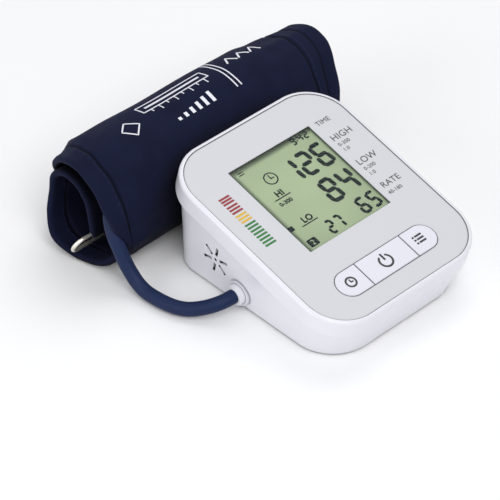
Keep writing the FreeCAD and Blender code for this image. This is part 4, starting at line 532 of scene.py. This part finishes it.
def start_print(name):
    """Opens an empty mesh in edit mode."""
    bpy.ops.object.select_all(action="DESELECT")
    bpy.ops.mesh.primitive_plane_add(size=MM)
    piece = bpy.context.object
    piece.name = piece.data.name = name
    bpy.ops.object.mode_set(mode="EDIT")
    bpy.ops.mesh.select_all(action="SELECT")
    bpy.ops.mesh.delete(type="VERT")
    return piece


def draw_bar(u, v, width, height, turn=0.0, cut=0.0):
    """A bar about a point, turned, its corners cut where asked."""
    spot = (u * MM, v * MM, 0)
    bpy.ops.mesh.primitive_plane_add(size=MM, location=spot)
    bpy.ops.transform.resize(value=(width, height, 1), center_override=spot)
    if turn:
        bpy.ops.transform.rotate(value=turn, orient_axis="Z", center_override=spot)
    if cut:
        bpy.ops.mesh.bevel(offset=cut * MM, segments=1, affect="VERTICES")


def draw_ring(u, v, radius, width, sides=48):
    """A ring about a point."""
    bpy.ops.mesh.primitive_circle_add(vertices=sides, radius=radius * MM, location=(u * MM, v * MM, 0))
    bpy.ops.mesh.extrude_region()
    inner = (radius - width) / radius
    bpy.ops.transform.resize(value=(inner, inner, 1), center_override=(u * MM, v * MM, 0))


def end_print(piece, height, thickness, material, body, slot):
    """Closes the drawing, gives it its thickness, sets it over the plate and lets it ride."""
    bpy.ops.mesh.select_all(action="SELECT")
    bpy.ops.mesh.normals_make_consistent(inside=False)
    bpy.ops.object.mode_set(mode="OBJECT")
    finish_flat(piece, height, thickness, material, body)


def finish_flat(piece, height, thickness, material, body):
    """Turns a flat mesh upwards, thickens it, places it for good, and dresses it."""
    for polygon in piece.data.polygons:
        if polygon.normal.z < 0:
            polygon.flip()
    skin = piece.modifiers.new("ink", "SOLIDIFY")
    skin.thickness = thickness
    skin.offset = 1
    bpy.ops.object.modifier_apply(modifier=skin.name)
    piece.matrix_world = FACE @ Matrix.Translation((0, 0, height * MM))
    bpy.ops.object.transform_apply(location=True, rotation=True, scale=True)
    piece.data.materials.clear()
    piece.data.materials.append(material)
    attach(piece, body)


def word(name, text, u, v, high, height, thickness, material, body, slot, align="LEFT", bold=0.0):
    """A short generic word or a number as flat print, its strokes widened where asked."""
    bpy.ops.object.select_all(action="DESELECT")
    bpy.ops.object.text_add()
    letters = bpy.context.object.data
    letters.body = text
    letters.size = high * TEXT_SIZE * MM
    letters.align_x = align
    letters.align_y = "BOTTOM_BASELINE"
    letters.resolution_u = 4
    letters.offset = bold * MM
    letters.space_character = 1.05
    bpy.ops.object.convert(target="MESH")
    piece = bpy.context.object
    piece.name = piece.data.name = name
    bpy.ops.object.mode_set(mode="EDIT")
    bpy.ops.mesh.select_all(action="SELECT")
    bpy.ops.mesh.remove_doubles(threshold=0.004 * MM)
    bpy.ops.mesh.dissolve_degenerate(threshold=0.004 * MM)
    bpy.ops.mesh.dissolve_limited(angle_limit=math.radians(0.5))
    bpy.ops.transform.translate(value=(u * MM, v * MM, 0))
    bpy.ops.object.mode_set(mode="OBJECT")
    finish_flat(piece, height, thickness, material, body)


# The lit segments of each figure, named from the top clockwise, the middle one last.
LIT = {
    "0": "abcdef", "1": "bc", "2": "abged", "3": "abgcd", "4": "fgbc",
    "5": "afgcd", "6": "afgedc", "7": "abc", "8": "abcdefg", "9": "abcdfg",
}


def draw_figure(figure, u, v, wide, high, thick, lean=0.1):
    """One seven-segment figure about a point, leaning to the right."""
    gap = thick * 0.1
    across = wide - thick - 2 * gap
    upright = high / 2 - thick / 2 - 2 * gap
    side = wide / 2 - thick / 2
    quarter = high / 4 - thick / 8
    spots = {
        "a": (0, high / 2 - thick / 2), "g": (0, 0), "d": (0, -high / 2 + thick / 2),
        "f": (-side, quarter), "b": (side, quarter), "e": (-side, -quarter), "c": (side, -quarter),
    }
    for segment in LIT[figure]:
        x, y = spots[segment]
        flat = segment in "agd"
        draw_bar(
            u + x + lean * y, v + y,
            across if flat else thick, thick if flat else upright,
            0 if flat else -math.atan(lean), thick * 0.36,
        )


# The rolled strip of the cuff, in millimetres: runs and half turns of its middle line from the outer end
# inwards, where that end stands, and where the roll's middle is along Y and Z.
ROLL = [
    ("run", 11.0), ("bend", 23.75), ("run", 7.55), ("bend", 21.2), ("run", 6.55), ("bend", 11.8),
    ("run", 16.8),
]
ROLL_START = (23.75, 20.0)
ROLL_LENGTH = sum(size if kind == "run" else math.pi * size for kind, size in ROLL)
CUFF_Y = 54.054
CUFF_Z = 30
# The strip's runs that hold the bladder and the hook patch, and where the hose leaves it.
BLADDER_RUN = (8.0, 146.5)
PATCH_RUN = (1.5, 10.0)
HOSE_EXIT = 98
# How low the cloth lies over the table, how far its print stands off it, and the share that its right end
# is drawn in.
LOWEST = 0.12
PRINT_GAP = 0.1
DRAWN_IN = 0.048


def roll_point(s):
    """Middle line of the roll at a distance from its outer end: y, z and heading."""
    y, z = ROLL_START
    heading = math.pi / 2
    for kind, size in ROLL:
        whole = size if kind == "run" else math.pi * size
        step = min(s, whole)
        if kind == "run":
            y += step * math.cos(heading)
            z += step * math.sin(heading)
        else:
            turn = step / size
            y += size * (math.sin(heading + turn) - math.sin(heading))
            z -= size * (math.cos(heading + turn) - math.cos(heading))
            heading += turn
        s -= step
        if s <= 1e-9:
            break
    return y, z, heading


def ease(value):
    """A smooth step from 0 to 1."""
    value = max(0.0, min(1.0, value))
    return value * value * (3 - 2 * value)


def between(value, start, rise, end, fall):
    """A smooth window: up from 0 to 1 past its start, and down to 0 before its end."""
    return ease((value - start) / rise) * ease((end - value) / fall)


def bell(value, middle, wide):
    """A smooth hump of height 1 about a middle."""
    return math.exp(-(((value - middle) / wide) ** 2))


# How far the strip's two long edges stand back, in millimetres, at distances from its outer end.
LEFT_EDGE = (
    (0, 0), (5, 2), (11, 6), (20, 6.2), (30, 4), (40, 1.6), (52, 0), (98, 0), (110, 2), (122, 2.5),
    (132, 0.5), (143, -2), (154, 1), (164, 4), (190, 4), (205, 5), (220, 6),
)
RIGHT_EDGE = (
    (0, -2), (16, -3), (30, -4), (48, -5.5), (56, -4.5), (62, -2.5), (70, 0.5), (85, 2.5), (140, 1),
    (220, 1),
)


def along(table, s):
    """A value between the rows of a table of distances and values, on a smooth curve through them."""
    rows = (table[0], *table, table[-1])
    for before, (a, low), (b, high), after in zip(rows, rows[1:], rows[2:], rows[3:]):
        if s <= b and b > a:
            step, jump, t = b - a, high - low, max(0.0, s - a) / (b - a)
            rise = (high - before[1]) / (b - before[0]) * step
            fall = (after[1] - low) / (after[0] - a) * step
            return low + t * (rise + t * (3 * jump - 2 * rise - fall + t * (rise + fall - 2 * jump)))
    return table[-1][1]


def cloth_half(m):
    """Half thickness of the cloth: thick over the bladder, thin at the hems, drawn in at the seams."""
    cuff = sizes("monitor_cuff")
    left_seam, right_seam, fold = -cuff.left_seam / MM, cuff.right_seam / MM, cuff.right_fold / MM
    body = between(m, left_seam + 1, 7, right_seam - 1, 8)
    half = (cuff.hem + (cuff.thickness - cuff.hem) * body) / MM / 2
    for seam, deep in ((left_seam, 1.0), (right_seam, 0.85), (fold, 0.5)):
        half -= deep * bell(m, seam, 0.8)
        half += 0.35 * deep * bell(m, seam, 3.2)
    return half


def cloth_point(s, m, depth):
    """A point of the cloth from its distance along the strip, its place across it and its height.

    All three are in millimetres, the height outwards from the strip's middle.
    """
    cuff = sizes("monitor_cuff")
    y, z, heading = roll_point(max(0.0, s))
    # Soft wrinkles: broad hollows, creases along the roll, and pulls that start at the seams.
    high = cuff.wrinkle / MM
    broad = noise.noise(Vector((s / 26, m / 34, 1.7)))
    crease = noise.noise(Vector((s / 7.5, m / 45, 6.3)))
    pull = noise.noise(Vector((s / 6 + m / 20, m / 16, 9.1)))
    ends = bell(m, -cuff.left_seam / MM + 6, 12) + bell(m, cuff.right_seam / MM - 6, 12)
    wave = high * (0.7 * broad + 0.4 * crease + 0.8 * pull * ends)
    # Close to the monitor's back the cloth stays off the case.
    beside = between(m, -48, 6, 60, 6) * between(s, 74, 8, 160, 10)
    wave = min(wave, 0.9 - 0.75 * beside)
    # The left hem curls in over the top of the roll.
    wave -= cuff.curl / MM * ease((-53 - m) / 15) * between(s, 6, 14, 55, 25)
    y += math.sin(heading) * (depth + wave)
    z -= math.cos(heading) * (depth + wave)
    # Beyond the bladder the right end is drawn in.
    slim = 1 - DRAWN_IN * ease((m - 36) / 32)
    y, z = y * slim, z * slim
    # Rounded corners of the free end, the hem that gives way to the hose, and both ends' uneven edges.
    round_off = cuff.corner / MM
    corner = round_off - math.sqrt(round_off ** 2 - max(0.0, round_off - s) ** 2)
    notch = cuff.notch / MM * bell(s, HOSE_EXIT, 13)
    x = m + corner * (ease((-10 - m) / 58) - ease((m - 10) / 58)) + notch * ease((-56 - m) / 12)
    x += along(LEFT_EDGE, s) * ease((-46 - m) / 22) - along(RIGHT_EDGE, s) * ease((m - 46) / 22)
    return Vector((x * MM, (CUFF_Y + y) * MM, max(z, LOWEST) * MM))


def strip_mesh(name, start, end, across, steps, outside, inside, lip):
    """A closed strip of the roll between two lengths, at the given places across it, its two faces given.

    outside and inside give the heights of the two faces over the middle line from the place across the strip.
    The long edges are rounded, and the two ends close to a lip over the given number of rows.
    """
    left, right = across[0], across[-1]
    edge = [math.radians(angle) for angle in (54, 18, -18, -54)]
    points, flat = [], []
    for number, s in enumerate(evenly(start, end, steps)):
        row = min(number, steps - 1 - number)
        close = math.sin(min(1.0, (row + 0.35) / lip) * math.pi / 2)
        ring = []
        for m in across:
            middle = (outside(m) + inside(m)) / 2
            ring.append((m, middle + (outside(m) - middle) * close))
        for m, sign, angles in ((right, 1, edge), (left, -1, list(reversed(edge)))):
            middle, half = (outside(m) + inside(m)) / 2, (outside(m) - inside(m)) / 2 * close
            ring += [(m + sign * half * math.cos(a), middle + half * math.sin(a)) for a in angles]
            if sign > 0:
                for back in reversed(across):
                    core = (outside(back) + inside(back)) / 2
                    ring.append((back, core + (inside(back) - core) * close))
        points += [cloth_point(s, m, depth) for m, depth in ring]
        flat += [(s * MM, m * MM) for m, depth in ring]
    count = len(ring)
    faces = [tuple(range(count)), tuple(reversed(range((steps - 1) * count, steps * count)))]
    for row in range(steps - 1):
        for column in range(count):
            a, b = row * count + column, row * count + (column + 1) % count
            faces.append((a, b, b + count, a + count))
    mesh = bpy.data.meshes.new(name)
    mesh.from_pydata(points, [], faces)
    layer = mesh.uv_layers.new(name="cloth")
    for loop in mesh.loops:
        layer.data[loop.index].uv = flat[loop.vertex_index]
    piece = new_object(name, mesh)
    bpy.ops.object.mode_set(mode="EDIT")
    bpy.ops.mesh.select_all(action="SELECT")
    bpy.ops.mesh.normals_make_consistent(inside=False)
    bpy.ops.object.mode_set(mode="OBJECT")
    bpy.ops.object.shade_smooth()
    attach(piece, "cuff_with_hose")
    return piece


def evenly(low, high, count):
    """Evenly spaced numbers from low to high."""
    return [low + (high - low) * number / (count - 1) for number in range(count)]


class MONITOR_OT_stage(bpy.types.Operator):
    """Sets up the floor, the soft studio light and the camera"""

    bl_idname = "monitor.stage"
    bl_label = "Stage"

    def execute(self, context):
        scene = context.scene
        scene.view_settings.view_transform = "Standard"
        bpy.ops.object.select_all(action="DESELECT")
        bpy.ops.mesh.primitive_plane_add(size=8)
        floor = context.object
        floor.name = "floor"
        # Pale paper sweep: plain matt, a trace of tone so that it isn't one flat colour.
        paper = mottled(
            "pale_paper", sizes("monitor_colours").floor, spread=0.004, patch=300, grain=4, depth=0.01,
            roughness=0.9, IOR=1.4,
        )
        floor.data.materials.append(paper)

        world = bpy.data.worlds.new("studio")
        scene.world = world
        world.use_nodes = True
        tree = world.node_tree
        tree.nodes.clear()
        path = add(tree, "LightPath")
        seen = add(
            tree, "Math", None, {0: path.outputs["Is Camera Ray"], 1: path.outputs["Is Glossy Ray"]},
            operation="MAXIMUM",
        )
        straight = add(
            tree, "Math", None, {0: seen.outputs[0], 1: path.outputs["Is Transmission Ray"]},
            operation="MAXIMUM",
        )
        soft = add(tree, "Background", {"Color": (0.96, 0.97, 1.0, 1), "Strength": 0.48})
        white = add(tree, "Background", {"Color": (1, 1, 1, 1), "Strength": 1.0})
        both = add(tree, "MixShader", None, {0: straight.outputs[0], 1: soft.outputs[0], 2: white.outputs[0]})
        add(tree, "OutputWorld", None, {"Surface": both.outputs[0]})

        # Place, aim, power and width of each round lamp.
        for name, spot, aim, power, wide in (
            ("key_light", (-0.35, -0.75, 1.05), (-0.02, -0.01, 0.02), 6.7, 0.8),
            ("top_light", (0.45, 0.25, 1.1), (0, 0, 0.02), 3.7, 0.9),
            ("left_fill", (-1.1, 0.1, 0.45), (-0.02, 0, 0.03), 3.2, 0.8),
        ):
            lamp = bpy.data.lights.new(name, "AREA")
            lamp.energy = power
            lamp.size = wide
            lamp.shape = "DISK"
            piece = new_object(name, lamp)
            piece.location = spot
            piece.rotation_euler = (Vector(aim) - Vector(spot)).to_track_quat("-Z", "Y").to_euler()

        lens = bpy.data.cameras.new("camera")
        lens.lens = CAMERA_LENS
        lens.sensor_width = 36
        camera = new_object("camera", lens)
        level = math.cos(CAMERA_RISE)
        back = Vector((math.sin(CAMERA_TURN) * level, -math.cos(CAMERA_TURN) * level, math.sin(CAMERA_RISE)))
        camera.location = CAMERA_AIM + back * CAMERA_DISTANCE
        camera.rotation_euler = (-back).to_track_quat("-Z", "Y").to_euler()
        scene.camera = camera
        return {"FINISHED"}


# The hose's route from the fitting in the cuff to the plug.
HOSE_ROUTE = [
    (-0.0505, 0.04065, 0.0335), (-0.0605, 0.04065, 0.0335), (-0.0646, 0.03365, 0.026),
    (-0.0642, 0.02995, 0.0195), (-0.0638, 0.02585, 0.0115), (-0.0632, 0.01765, 0.0037),
    (-0.0626, 0.0071, 0.0036), (-0.0603, -0.0026, 0.0036), (-0.056, -0.0094, 0.0046),
    (-0.0488, -0.0179, 0.0093), (-0.0421, -0.0179, 0.0093),
]


class MONITOR_OT_air_hose(bpy.types.Operator):
    """Lays the air hose from the cuff to the plug"""

    bl_idname = "monitor.air_hose"
    bl_label = "Air hose"

    def execute(self, context):
        hose = sizes("monitor_hose")
        line = bpy.data.curves.new("hose", "CURVE")
        line.dimensions = "3D"
        line.bevel_depth = hose.diameter / 2
        line.bevel_resolution = 8
        line.resolution_u = 16
        line.use_fill_caps = True
        spline = line.splines.new("NURBS")
        spline.points.add(len(HOSE_ROUTE) - 1)
        for point, spot in zip(spline.points, HOSE_ROUTE):
            point.co = (*spot, 1)
        spline.order_u = 3
        spline.use_endpoint_u = True
        piece = new_object("hose", line)
        line.materials.append(hose_vinyl())
        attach(piece, "cuff_with_hose")
        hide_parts("air_hose")
        return {"FINISHED"}


class MONITOR_OT_arm_cuff(bpy.types.Operator):
    """Makes the rolled, padded strip of the arm cuff with its hems and soft wrinkles"""

    bl_idname = "monitor.arm_cuff"
    bl_label = "Arm cuff"

    def execute(self, context):
        cuff = sizes("monitor_cuff")
        # Columns stand closer together at the seams.
        across = evenly(-cuff.left / MM, cuff.right / MM, 116)
        for seam in (-cuff.left_seam / MM, cuff.right_seam / MM, cuff.right_fold / MM):
            across += evenly(seam - 2.2, seam + 2.2, 14)
        piece = strip_mesh(
            "cuff_cloth", 0.0, ROLL_LENGTH, sorted(across), 236, cloth_half, lambda m: -cloth_half(m), lip=3,
        )
        piece.data.materials.append(cuff_nylon())
        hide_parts("cuff_wrap")
        return {"FINISHED"}


class MONITOR_OT_cuff_inside(bpy.types.Operator):
    """Makes the flat bladder in the cloth and the hook patch under its free end, in the cloth's own shape"""

    bl_idname = "monitor.cuff_inside"
    bl_label = "Cuff inside"

    def execute(self, context):
        cuff = sizes("monitor_cuff")
        half, wide, patch = cuff.bladder_thickness / MM / 2, cuff.bladder / MM, cuff.patch / MM
        piece = strip_mesh(
            "bladder", *BLADDER_RUN, evenly(-wide, wide, 40), 140, lambda m: half, lambda m: -half, lip=2,
        )
        piece.data.materials.append(rubber("latex_bladder", "6F6B63", 0.6))
        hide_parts("cuff_bladder")
        piece = strip_mesh(
            "hook_tape", *PATCH_RUN, evenly(-patch, patch, 40), 12,
            lambda m: -cloth_half(m) + 0.1, lambda m: -cloth_half(m) - 0.45, lip=1,
        )
        piece.data.materials.append(tape_hooks())
        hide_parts("hook_patch")
        return {"FINISHED"}


class MONITOR_OT_cuff_ring(bpy.types.Operator):
    """Bends the long wire loop that the strip is pulled through"""

    bl_idname = "monitor.cuff_ring"
    bl_label = "Cuff ring"

    def execute(self, context):
        ring = sizes("monitor_ring")
        bpy.ops.object.select_all(action="DESELECT")
        bpy.ops.mesh.primitive_torus_add(
            major_radius=ring.width / 2, minor_radius=ring.wire, major_segments=64, minor_segments=20
        )
        piece = context.object
        piece.name = piece.data.name = "wire_loop"
        # The halves of a round ring move apart, and straight wires span the gap.
        left = {point.index for point in piece.data.vertices if point.co.x < -0.001 * MM}
        for side in (-1, 1):
            bpy.ops.object.mode_set(mode="EDIT")
            bpy.ops.mesh.select_all(action="DESELECT")
            bpy.ops.object.mode_set(mode="OBJECT")
            for point in piece.data.vertices:
                point.select = (point.index in left) == (side < 0)
            bpy.ops.object.mode_set(mode="EDIT")
            bpy.ops.transform.translate(value=(side * (ring.reach - ring.width / 2), 0, 0))
            bpy.ops.object.mode_set(mode="OBJECT")
        bpy.ops.object.shade_smooth()
        hang = Matrix.Translation((0, 0, -ring.width / 2)) @ Matrix.Rotation(math.pi / 2, 4, "X")
        piece.matrix_world = RING @ hang
        bpy.ops.object.transform_apply(location=True, rotation=True, scale=True)
        # Nickel-plated steel wire, drawn and barrel polished: pale and soft-edged reflections.
        wire = metal("nickel_wire", sizes("monitor_colours").ring, 0.42, (0.05, 1, 1))
        dress(wire, "cuff_ring")
        piece.data.materials.append(wire)
        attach(piece, "cuff_ring")
        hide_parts("cuff_ring")
        return {"FINISHED"}


def ribbon(points, width):
    """Corners and faces of a flat line of even width through points of the cloth (s, x) in millimetres."""
    corners, faces = [], []
    for number, spot in enumerate(points):
        before, after = points[max(0, number - 1)], points[min(len(points) - 1, number + 1)]
        along_line = (after - before).normalized()
        side = Vector((-along_line.y, along_line.x)) * width / 2
        corners += [spot + side, spot - side]
        if number:
            faces.append((2 * number - 2, 2 * number - 1, 2 * number + 1, 2 * number))
    return corners, faces


def line_points(*corners):
    """Points every millimetre along straight runs between corners, so that a print follows the cloth."""
    points = []
    for a, b in zip(corners, corners[1:]):
        a, b = Vector(a), Vector(b)
        count = max(2, int((b - a).length) + 1)
        points += [a.lerp(b, number / count) for number in range(count)]
    return points + [Vector(corners[-1])]


class MONITOR_OT_cuff_print(bpy.types.Operator):
    """Prints a white guide on the cuff: a range bar, growing bars, index lines, a diamond and chevrons"""

    bl_idname = "monitor.cuff_print"
    bl_label = "Cuff print"

    def execute(self, context):
        ink = sizes("monitor_print")
        wide = ink.line / MM
        # Range bar with its ticks.
        lines = [
            (line_points((39, -24), (39, 14), (45, 14), (45, -24), (39, -24)), wide),
            (line_points((42, -21), (42, 11)), wide * 1.9),
        ]
        for number in range(8):
            x = -20 + 4.4 * number
            lines.append((line_points((45, x), (48.4 if number % 2 else 47, x)), wide * 0.8))
        # Bars that grow with the size.
        for number in range(6):
            x = -14 + 4 * number
            lines.append((line_points((57.5, x), (56 - 0.8 * number, x)), wide * 2.6))
        # Two index lines across the cloth.
        for x in (20, 22.4):
            lines.append((line_points((33, x), (57, x)), wide))
        # Diamond.
        lines.append((line_points((45, -36), (49.5, -31), (54, -36), (49.5, -41), (45, -36)), wide))
        # Three chevrons that point the way to wrap.
        for x in (30, 37, 44):
            lines.append((line_points((44, x - 3), (39, x), (44, x + 3)), wide * 1.3))
        points, faces = [], []
        for line, width in lines:
            corners, quads = ribbon(line, width)
            faces += [tuple(corner + len(points) for corner in quad) for quad in quads]
            points += corners
        mesh = bpy.data.meshes.new("cuff_print")
        mesh.from_pydata(
            [cloth_point(spot.x, spot.y, cloth_half(spot.y) + PRINT_GAP) for spot in points], [], faces
        )
        for polygon in mesh.polygons:
            middle = Vector((polygon.center.x, CUFF_Y * MM, CUFF_Z * MM))
            if polygon.normal.dot(polygon.center - middle) < 0:
                polygon.flip()
        piece = new_object("cuff_print", mesh)
        skin = piece.modifiers.new("ink", "SOLIDIFY")
        skin.thickness = ink.cloth_ink
        skin.offset = 0
        bpy.ops.object.modifier_apply(modifier=skin.name)
        # Plastisol print on cloth: thick soft white that takes the threads' texture.
        piece.data.materials.append(printed("white_plastisol", sizes("monitor_colours").cuff_print, 0.6))
        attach(piece, "cuff_with_hose")
        return {"FINISHED"}


class MONITOR_OT_display(bpy.types.Operator):
    """Lights the display: plain figures, small marks and underlines on the glass"""

    bl_idname = "monitor.display"
    bl_label = "Display figures"

    def execute(self, context):
        thick = sizes("monitor_print").segment
        # Dark liquid crystal segments: blue-black, with a soft edge of the film over them.
        dark = printed("display_segments", sizes("monitor_colours").segment, 0.45, 0.1)
        on_glass = (GLASS_HEIGHT, thick, dark, "monitor", "display_glass")
        # Figures and their places, width, height and stroke of each row.
        rows = [
            ("display_time", "942", ((13.0, 34.5), (17.0, 34.5), (20.4, 34.5)), 2.7, 4.3, 0.85),
            ("display_upper", "126", ((0.6, 22.0), (9.6, 22.0), (18.7, 22.0)), 7.8, 13.6, 2.1),
            ("display_lower", "84", ((8.2, 5.0), (18.0, 5.0)), 7.9, 13.6, 2.1),
            ("display_beat", "65", ((13.9, -9.3), (20.2, -9.3)), 5.3, 9.2, 1.55),
            ("display_store", "27", ((-6.2, -10.0), (-1.2, -10.0)), 4.0, 7.8, 1.3),
        ]
        for name, figures, spots, wide, high, stroke in rows:
            piece = start_print(name)
            for figure, (u, v) in zip(figures, spots):
                draw_figure(figure, u, v, wide, high, stroke)
            if name == "display_time":
                draw_bar(15.1, 35.4, 0.6, 0.6)
                draw_bar(14.94, 33.8, 0.6, 0.6)
            end_print(piece, *on_glass)
        # A clock, two underlines, a square and two short lines.
        piece = start_print("display_marks")
        draw_ring(-9.7, 24.6, 3.4, 0.6)
        for u, v, wide, high in (
            (-9.7, 25.6, 0.6, 2.4), (-8.9, 24.5, 1.9, 0.6),
            (-12.4, 14.0, 9.2, 0.55), (-12.2, -3.0, 9.2, 0.55),
            (-21.7, -1.2, 2.6, 2.6),
            (-18.9, 34.4, 3.0, 0.5), (-18.9, 33.2, 3.0, 0.5),
        ):
            draw_bar(u, v, wide, high)
        end_print(piece, *on_glass)
        for name, text, u, v, high in (
            ("display_high", "HI", -14.4, 15.0, 3.0),
            ("display_high_range", "0-300", -16.6, 10.2, 2.0),
            ("display_low", "LO", -14.6, -2.0, 3.0),
        ):
            word(name, text, u, v, high, *on_glass, bold=high * 0.055)
        # A dark box with a pale number.
        piece = start_print("display_box")
        draw_bar(-18.6, -11.7, 5.0, 4.2, cut=0.4)
        end_print(piece, *on_glass)
        pale = printed("display_pale", sizes("monitor_colours").display, 0.45)
        word(
            "display_box_number", "2", -18.6, -13.0, 2.6, GLASS_HEIGHT + thick / MM, thick, pale, "monitor",
            "display_glass", align="CENTER",
        )
        return {"FINISHED"}


class MONITOR_OT_plate_print(bpy.types.Operator):
    """Prints the colour scale and the row marks on the face plate"""

    bl_idname = "monitor.plate_print"
    bl_label = "Plate print"

    def execute(self, context):
        tones, ink = sizes("monitor_colours"), sizes("monitor_print").ink
        groups = [
            ("scale_high", tones.high, [27.3, 25.75, 24.2, 22.1, 20.35, 18.6]),
            ("scale_middle", tones.middle, [16.45, 14.65, 12.85]),
            ("scale_low", tones.low, [10.6 - 1.85 * number for number in range(8)]),
        ]
        for name, rgb, rows in groups:
            piece = start_print(name)
            for v in rows:
                draw_bar(-35.05, v, 5.9, 1.0)
            end_print(piece, 0, ink, printed(name + "_ink", rgb), "monitor", "plate_grey")
        dark = printed("dark_ink", tones.ink)
        for name, text, u, v, high in (
            ("mark_time", "TIME", 27.4, 34.0, 2.5),
            ("mark_high", "HIGH", 27.3, 23.6, 3.3),
            ("mark_high_range", "0-300", 27.6, 20.0, 1.9),
            ("mark_high_step", "1.0", 27.6, 16.7, 1.9),
            ("mark_low", "LOW", 27.3, 7.2, 3.3),
            ("mark_low_range", "0-200", 27.6, 3.6, 1.9),
            ("mark_low_step", "1.0", 27.6, 0.2, 1.9),
            ("mark_beat", "RATE", 27.2, -8.2, 3.1),
            ("mark_beat_range", "40-180", 27.0, -12.4, 1.9),
        ):
            word(name, text, u, v, high, 0, ink, dark, "monitor", "plate_grey")
        return {"FINISHED"}


class MONITOR_OT_button_marks(bpy.types.Operator):
    """Prints a clock, the power symbol and a list on the three buttons"""

    bl_idname = "monitor.button_marks"
    bl_label = "Button marks"

    def execute(self, context):
        ink = sizes("monitor_print").ink
        dark = printed("button_ink", linear("0F0F12"))
        piece = start_print("set_mark")
        draw_ring(-21.2, -37.4, 2.8, 0.85)
        draw_bar(-21.2, -36.7, 0.65, 1.7)
        draw_bar(-20.6, -37.45, 1.4, 0.65)
        end_print(piece, BUTTON_HEIGHT, ink, dark, "set_button", "button_white")
        piece = start_print("power_mark")
        middle = Vector((-0.6, -37.7, 0)) * MM
        draw_ring(-0.6, -37.7, 3.6, 0.95)
        # The ring is open at the top, where the stroke stands.
        bpy.ops.object.mode_set(mode="OBJECT")
        for polygon in piece.data.polygons:
            away = polygon.center - middle
            polygon.select = abs(math.degrees(math.atan2(away.x, away.y))) < 32
        bpy.ops.object.mode_set(mode="EDIT")
        bpy.ops.mesh.delete(type="FACE")
        draw_bar(-0.6, -35.4, 0.95, 3.7)
        end_print(piece, BUTTON_HEIGHT, ink, dark, "power_button", "button_white")
        piece = start_print("memory_mark")
        for row in (-1, 0, 1):
            draw_bar(20.6, -37.4 + 1.75 * row, 3.8, 0.9)
            draw_bar(17.7, -37.4 + 1.75 * row, 1.0, 0.9)
        end_print(piece, BUTTON_HEIGHT, ink, dark, "memory_button", "button_white")
        return {"FINISHED"}


class MONITOR_OT_outer_finish(bpy.types.Operator):
    """Gives the pieces that show their finishes"""

    bl_idname = "monitor.outer_finish"
    bl_label = "Outer finish"

    def execute(self, context):
        dress(white_abs(), "upper_case", "lower_case")
        dress(plate_paint(), "face_plate")
        dress(button_abs(), "set_button", "power_button", "memory_button")
        dress(door_abs(), "battery_door")
        dress(clear_acrylic(), "display_cover")
        dress(display_ground(), "display_glass")
        dress(rubber("foot_rubber", "26262A", 0.75), "rubber_feet", "contact_strips", "plug_seal")
        dress(plastic("white_nylon", "E4E4EA", 0.38), "air_plug", "air_socket", "air_manifold")
        return {"FINISHED"}


class MONITOR_OT_inner_finish(bpy.types.Operator):
    """Gives the hidden pieces their finishes"""

    bl_idname = "monitor.inner_finish"
    bl_label = "Inner finish"

    def execute(self, context):
        dress(circuit_laminate(), "main_board", "socket_board")
        dress(
            plastic("moulded_black", "1B1B1E", 0.45), "switch_bodies", "board_chips", "valve_coil", "speaker",
            "speaker_cone",
        )
        dress(
            plastic("moulded_ivory", "D9D6CC", 0.42), "set_switch_plunger", "power_switch_plunger",
            "memory_switch_plunger", "pressure_sensor", "pump_head", "display_tray",
        )
        dress(
            metal("plated_steel", linear("B9BABC"), 0.34, (1, 1, 0.1)), "board_screws", "case_screws",
            "release_valve", "pump_motor", "power_socket", "battery_contacts",
        )
        dress(
            rubber("clear_silicone", "CFCBBE", 0.5), "socket_tube", "valve_tube", "pump_tube", "sensor_tube"
        )
        dress(cell_sleeve(), "battery_cells")
        dress(rubber("fitting_rubber", "4A4844", 0.6), "cuff_bladder", "bladder_fitting", "hook_patch")
        return {"FINISHED"}


STEPS = (
    MONITOR_OT_stage, MONITOR_OT_air_hose, MONITOR_OT_arm_cuff, MONITOR_OT_cuff_inside, MONITOR_OT_cuff_ring,
    MONITOR_OT_cuff_print, MONITOR_OT_display, MONITOR_OT_plate_print, MONITOR_OT_button_marks,
    MONITOR_OT_outer_finish, MONITOR_OT_inner_finish,
)
GROUPS = (
    ("monitor_cuff", CuffSizes), ("monitor_ring", RingSizes), ("monitor_hose", HoseSizes),
    ("monitor_print", PrintSizes), ("monitor_colours", Colours),
)


class MONITOR_PT_pieces(bpy.types.Panel):
    """Lists the steps that dress the monitor"""

    bl_idname = "MONITOR_PT_pieces"
    bl_label = "Blood pressure monitor"
    bl_space_type = "VIEW_3D"
    bl_region_type = "UI"
    bl_category = "Monitor"

    def draw(self, context):
        for step in STEPS:
            self.layout.operator(step.bl_idname)
        for name, group in GROUPS:
            box = self.layout.box()
            for prop in group.__annotations__:
                box.prop(getattr(context.scene, name), prop)


def register():
    for name, group in GROUPS:
        bpy.utils.register_class(group)
        setattr(bpy.types.Scene, name, PointerProperty(type=group))
    for step in STEPS:
        bpy.utils.register_class(step)
    bpy.utils.register_class(MONITOR_PT_pieces)


def unregister():
    bpy.utils.unregister_class(MONITOR_PT_pieces)
    for step in reversed(STEPS):
        bpy.utils.unregister_class(step)
    for name, group in reversed(GROUPS):
        delattr(bpy.types.Scene, name)
        bpy.utils.unregister_class(group)


def main():
    register()
    bpy.ops.monitor.stage()
    bpy.ops.monitor.air_hose()
    bpy.ops.monitor.arm_cuff()
    bpy.ops.monitor.cuff_inside()
    bpy.ops.monitor.cuff_ring()
    bpy.ops.monitor.cuff_print()
    bpy.ops.monitor.display()
    bpy.ops.monitor.plate_print()
    bpy.ops.monitor.button_marks()
    bpy.ops.monitor.outer_finish()
    bpy.ops.monitor.inner_finish()


if __name__ == "__main__":
    main()
